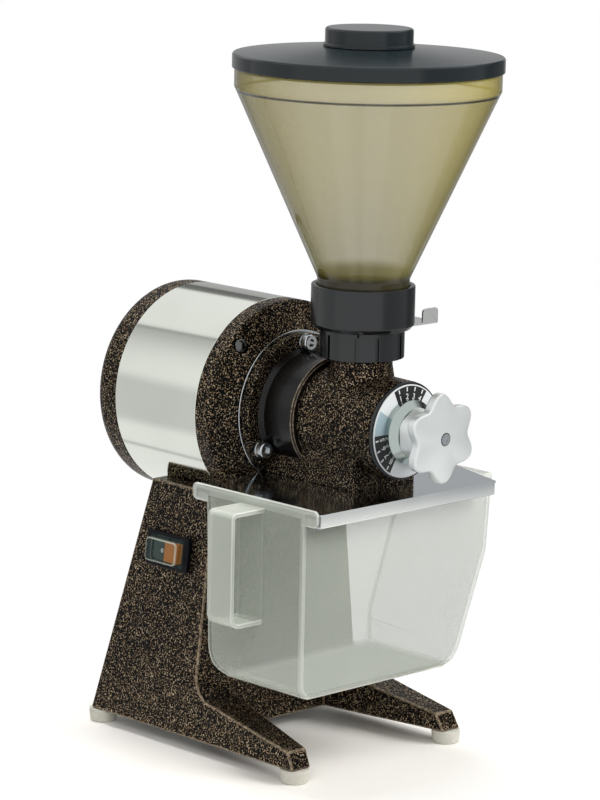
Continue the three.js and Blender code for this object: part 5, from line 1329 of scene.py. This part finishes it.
lidKnob = Values({"radius": 34.1, "top": 580, "foot": 35.5, "footHeight": 2.2, "edge": 2.2, "wall": 2.6,
    "boss": 7, "hole": 2.9, "screwDepth": 10})


def addMount():
    profile = stepped(ribbed.bore, ribbed.bottom, ribbed.radius, ribbed.top, ribbed.throat, ribbed.floor,
        ribbed.bore, corners=(0, 0.8, 0.4))
    ring = turned("ribbedRing", profile, "black", sides=160)
    half = ribbed.width / 2
    outline = rectangle(ribbed.radius - ribbed.depth, ribbed.radius + 3, -half, half)
    pattern = prism("slotPattern", outline, "Z", ribbed.bottom - 3, ribbed.top - ribbed.lip, "black", True)
    slots = grow("slots", trees["slotPairs"],
        {"Piece": pattern, "Count": ribbed.slots, "Wide Share": ribbed.share,
        "First Angle": math.radians(ribbed.first), "Centre": (hopperX, hopperY, 0),
        "Finish": finishes["black"]})
    discard(pattern)
    carve(ring, [slots])
    soften(ring, 0.35, 2, 50)
    dress(ring, "machine", ["ribbed_ring"])

    shell = turned("hopperCup", [(cup.hole, cup.bottom), (cup.low, cup.bottom, 1),
        (cup.radius, cup.bottom + cup.chamfer, 1.5), (cup.radius, cup.top, 1), (cup.bore + 0.2, cup.top, 0.5),
        (cup.bore, cup.floor), (cup.hole, cup.floor)], "black", sides=160)
    play, side = gate.play, gate.half + gate.play
    carve(shell, [block(-gate.front - play, 45, -side, side, gate.lift - play, gate.lift + gate.sheet + play,
        "black")])
    dress(shell, "machine", ["hopper_cup"])

    half = gate.half
    blade = arc(half - gate.front, 0, half, 90, 270, 24) + [(gate.reach, -half), (gate.reach, half)]
    sheet = prism("gatePlate", blade, "Z", gate.lift, gate.lift + gate.sheet, "gateSteel")
    start, top = gate.reach - gate.earLength, gate.lift + gate.earHeight
    outline = rounded([(start, gate.lift), (gate.reach, gate.lift), (gate.reach, top, gate.ear),
        (start, top, gate.ear)], True, 5)
    ear = prism("gateEar", outline, "Y", -half, gate.sheet - half, "gateSteel")
    carve(sheet, [ear], "UNION")
    soften(sheet, 0.25, 2, 50)
    dress(sheet, "gate", ["gate_plate"])


def addHopper(size):
    slope = (size.coneRadius - size.spigot) / (size.cone - size.spigotTop)
    thick = size.wall * math.hypot(1, slope)
    shell = turned("hopperCone", [(size.outlet, size.bottom), (size.spigot, size.bottom, 1),
        (size.spigot, size.spigotTop, 6), (size.coneRadius, size.cone, 0.4),
        (size.band, size.cone + size.wall, 0.6), (size.band, size.top, 0.5),
        (size.band - size.wall, size.top, 0.5), (size.band - size.wall, size.cone + 2 * size.wall, 1),
        (size.coneRadius - thick, size.cone, 1), (size.spigot - thick, size.spigotTop, 5),
        (size.spigot - thick, size.bottom + size.wall, 0.5), (size.outlet, size.bottom + size.wall)],
        "smoked", sides=192)
    dress(shell, "machine", ["hopper_cone"])


def addLid(size, top):
    cover = turned("hopperLid", [(size.hole, size.crown), (top.foot, size.crown, 4),
        (size.radius - 1, size.top, 1.2), (size.radius, size.top - 1.4, 0.6), (size.radius, size.bottom, 0.5),
        (size.skirtOuter, size.bottom), (size.skirtOuter, size.skirt, 0.4),
        (size.skirtInner, size.skirt, 0.4), (size.skirtInner, size.top - size.sheet, 2),
        (top.foot, size.crown - size.sheet), (size.hole, size.crown - size.sheet)], "lidPlastic", sides=192)
    dress(cover, "lid", ["hopper_lid"])
    low, ceiling = size.crown + 0.3, top.top - top.wall
    inside, tip = top.radius - top.wall, low + top.screwDepth
    profile = stepped(0, top.top, top.radius, low + top.footHeight, top.foot, low, inside, ceiling, top.boss,
        low, top.hole, tip, 0, corners=(0, top.edge, 0.4, 0.4, 0.3, 0, 1))
    hat = turned("lidKnob", profile, "lidPlastic", sides=160)
    dress(hat, "lid", ["lid_knob"])


addMount()
addHopper(hopper)
addLid(lid, lidKnob)
print("hopper, mount and lid made")


# CAD pieces that keep their shape get a finish of their own.
carried = {
    "zinc": ["floor_plate", "floor_plate_screw_1", "floor_plate_screw_2", "saddle_bolt_1", "saddle_bolt_2",
    "tie_rod_1", "tie_rod_2", "tie_rod_3", "plate_screw_1", "plate_screw_2", "lid_screw", "knob_screw"],
    "iron": ["stator_core", "rotor_core", "fixed_burr", "turning_burr"],
    "copper": ["winding_front", "winding_rear"],
    "turnedSteel": ["motor_shaft", "bearing_front", "bearing_rear", "feed_screw", "adjusting_spindle"],
    "castAluminium": ["burr_holder"], "black": ["cooling_fan", "finger_guard", "cord_inlet"],
    "rubber": ["shaft_seal"], "dialWhite": ["run_capacitor"],
}
for finishName, nodes in carried.items():
    for node in nodes:
        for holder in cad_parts[node].material_slots:
            holder.material = finishes[finishName]
print("carried pieces finished:", sum(len(nodes) for nodes in carried.values()))

scene = bpy.context.scene
scene.view_settings.view_transform = "Standard"
bpy.context.view_layer.update()
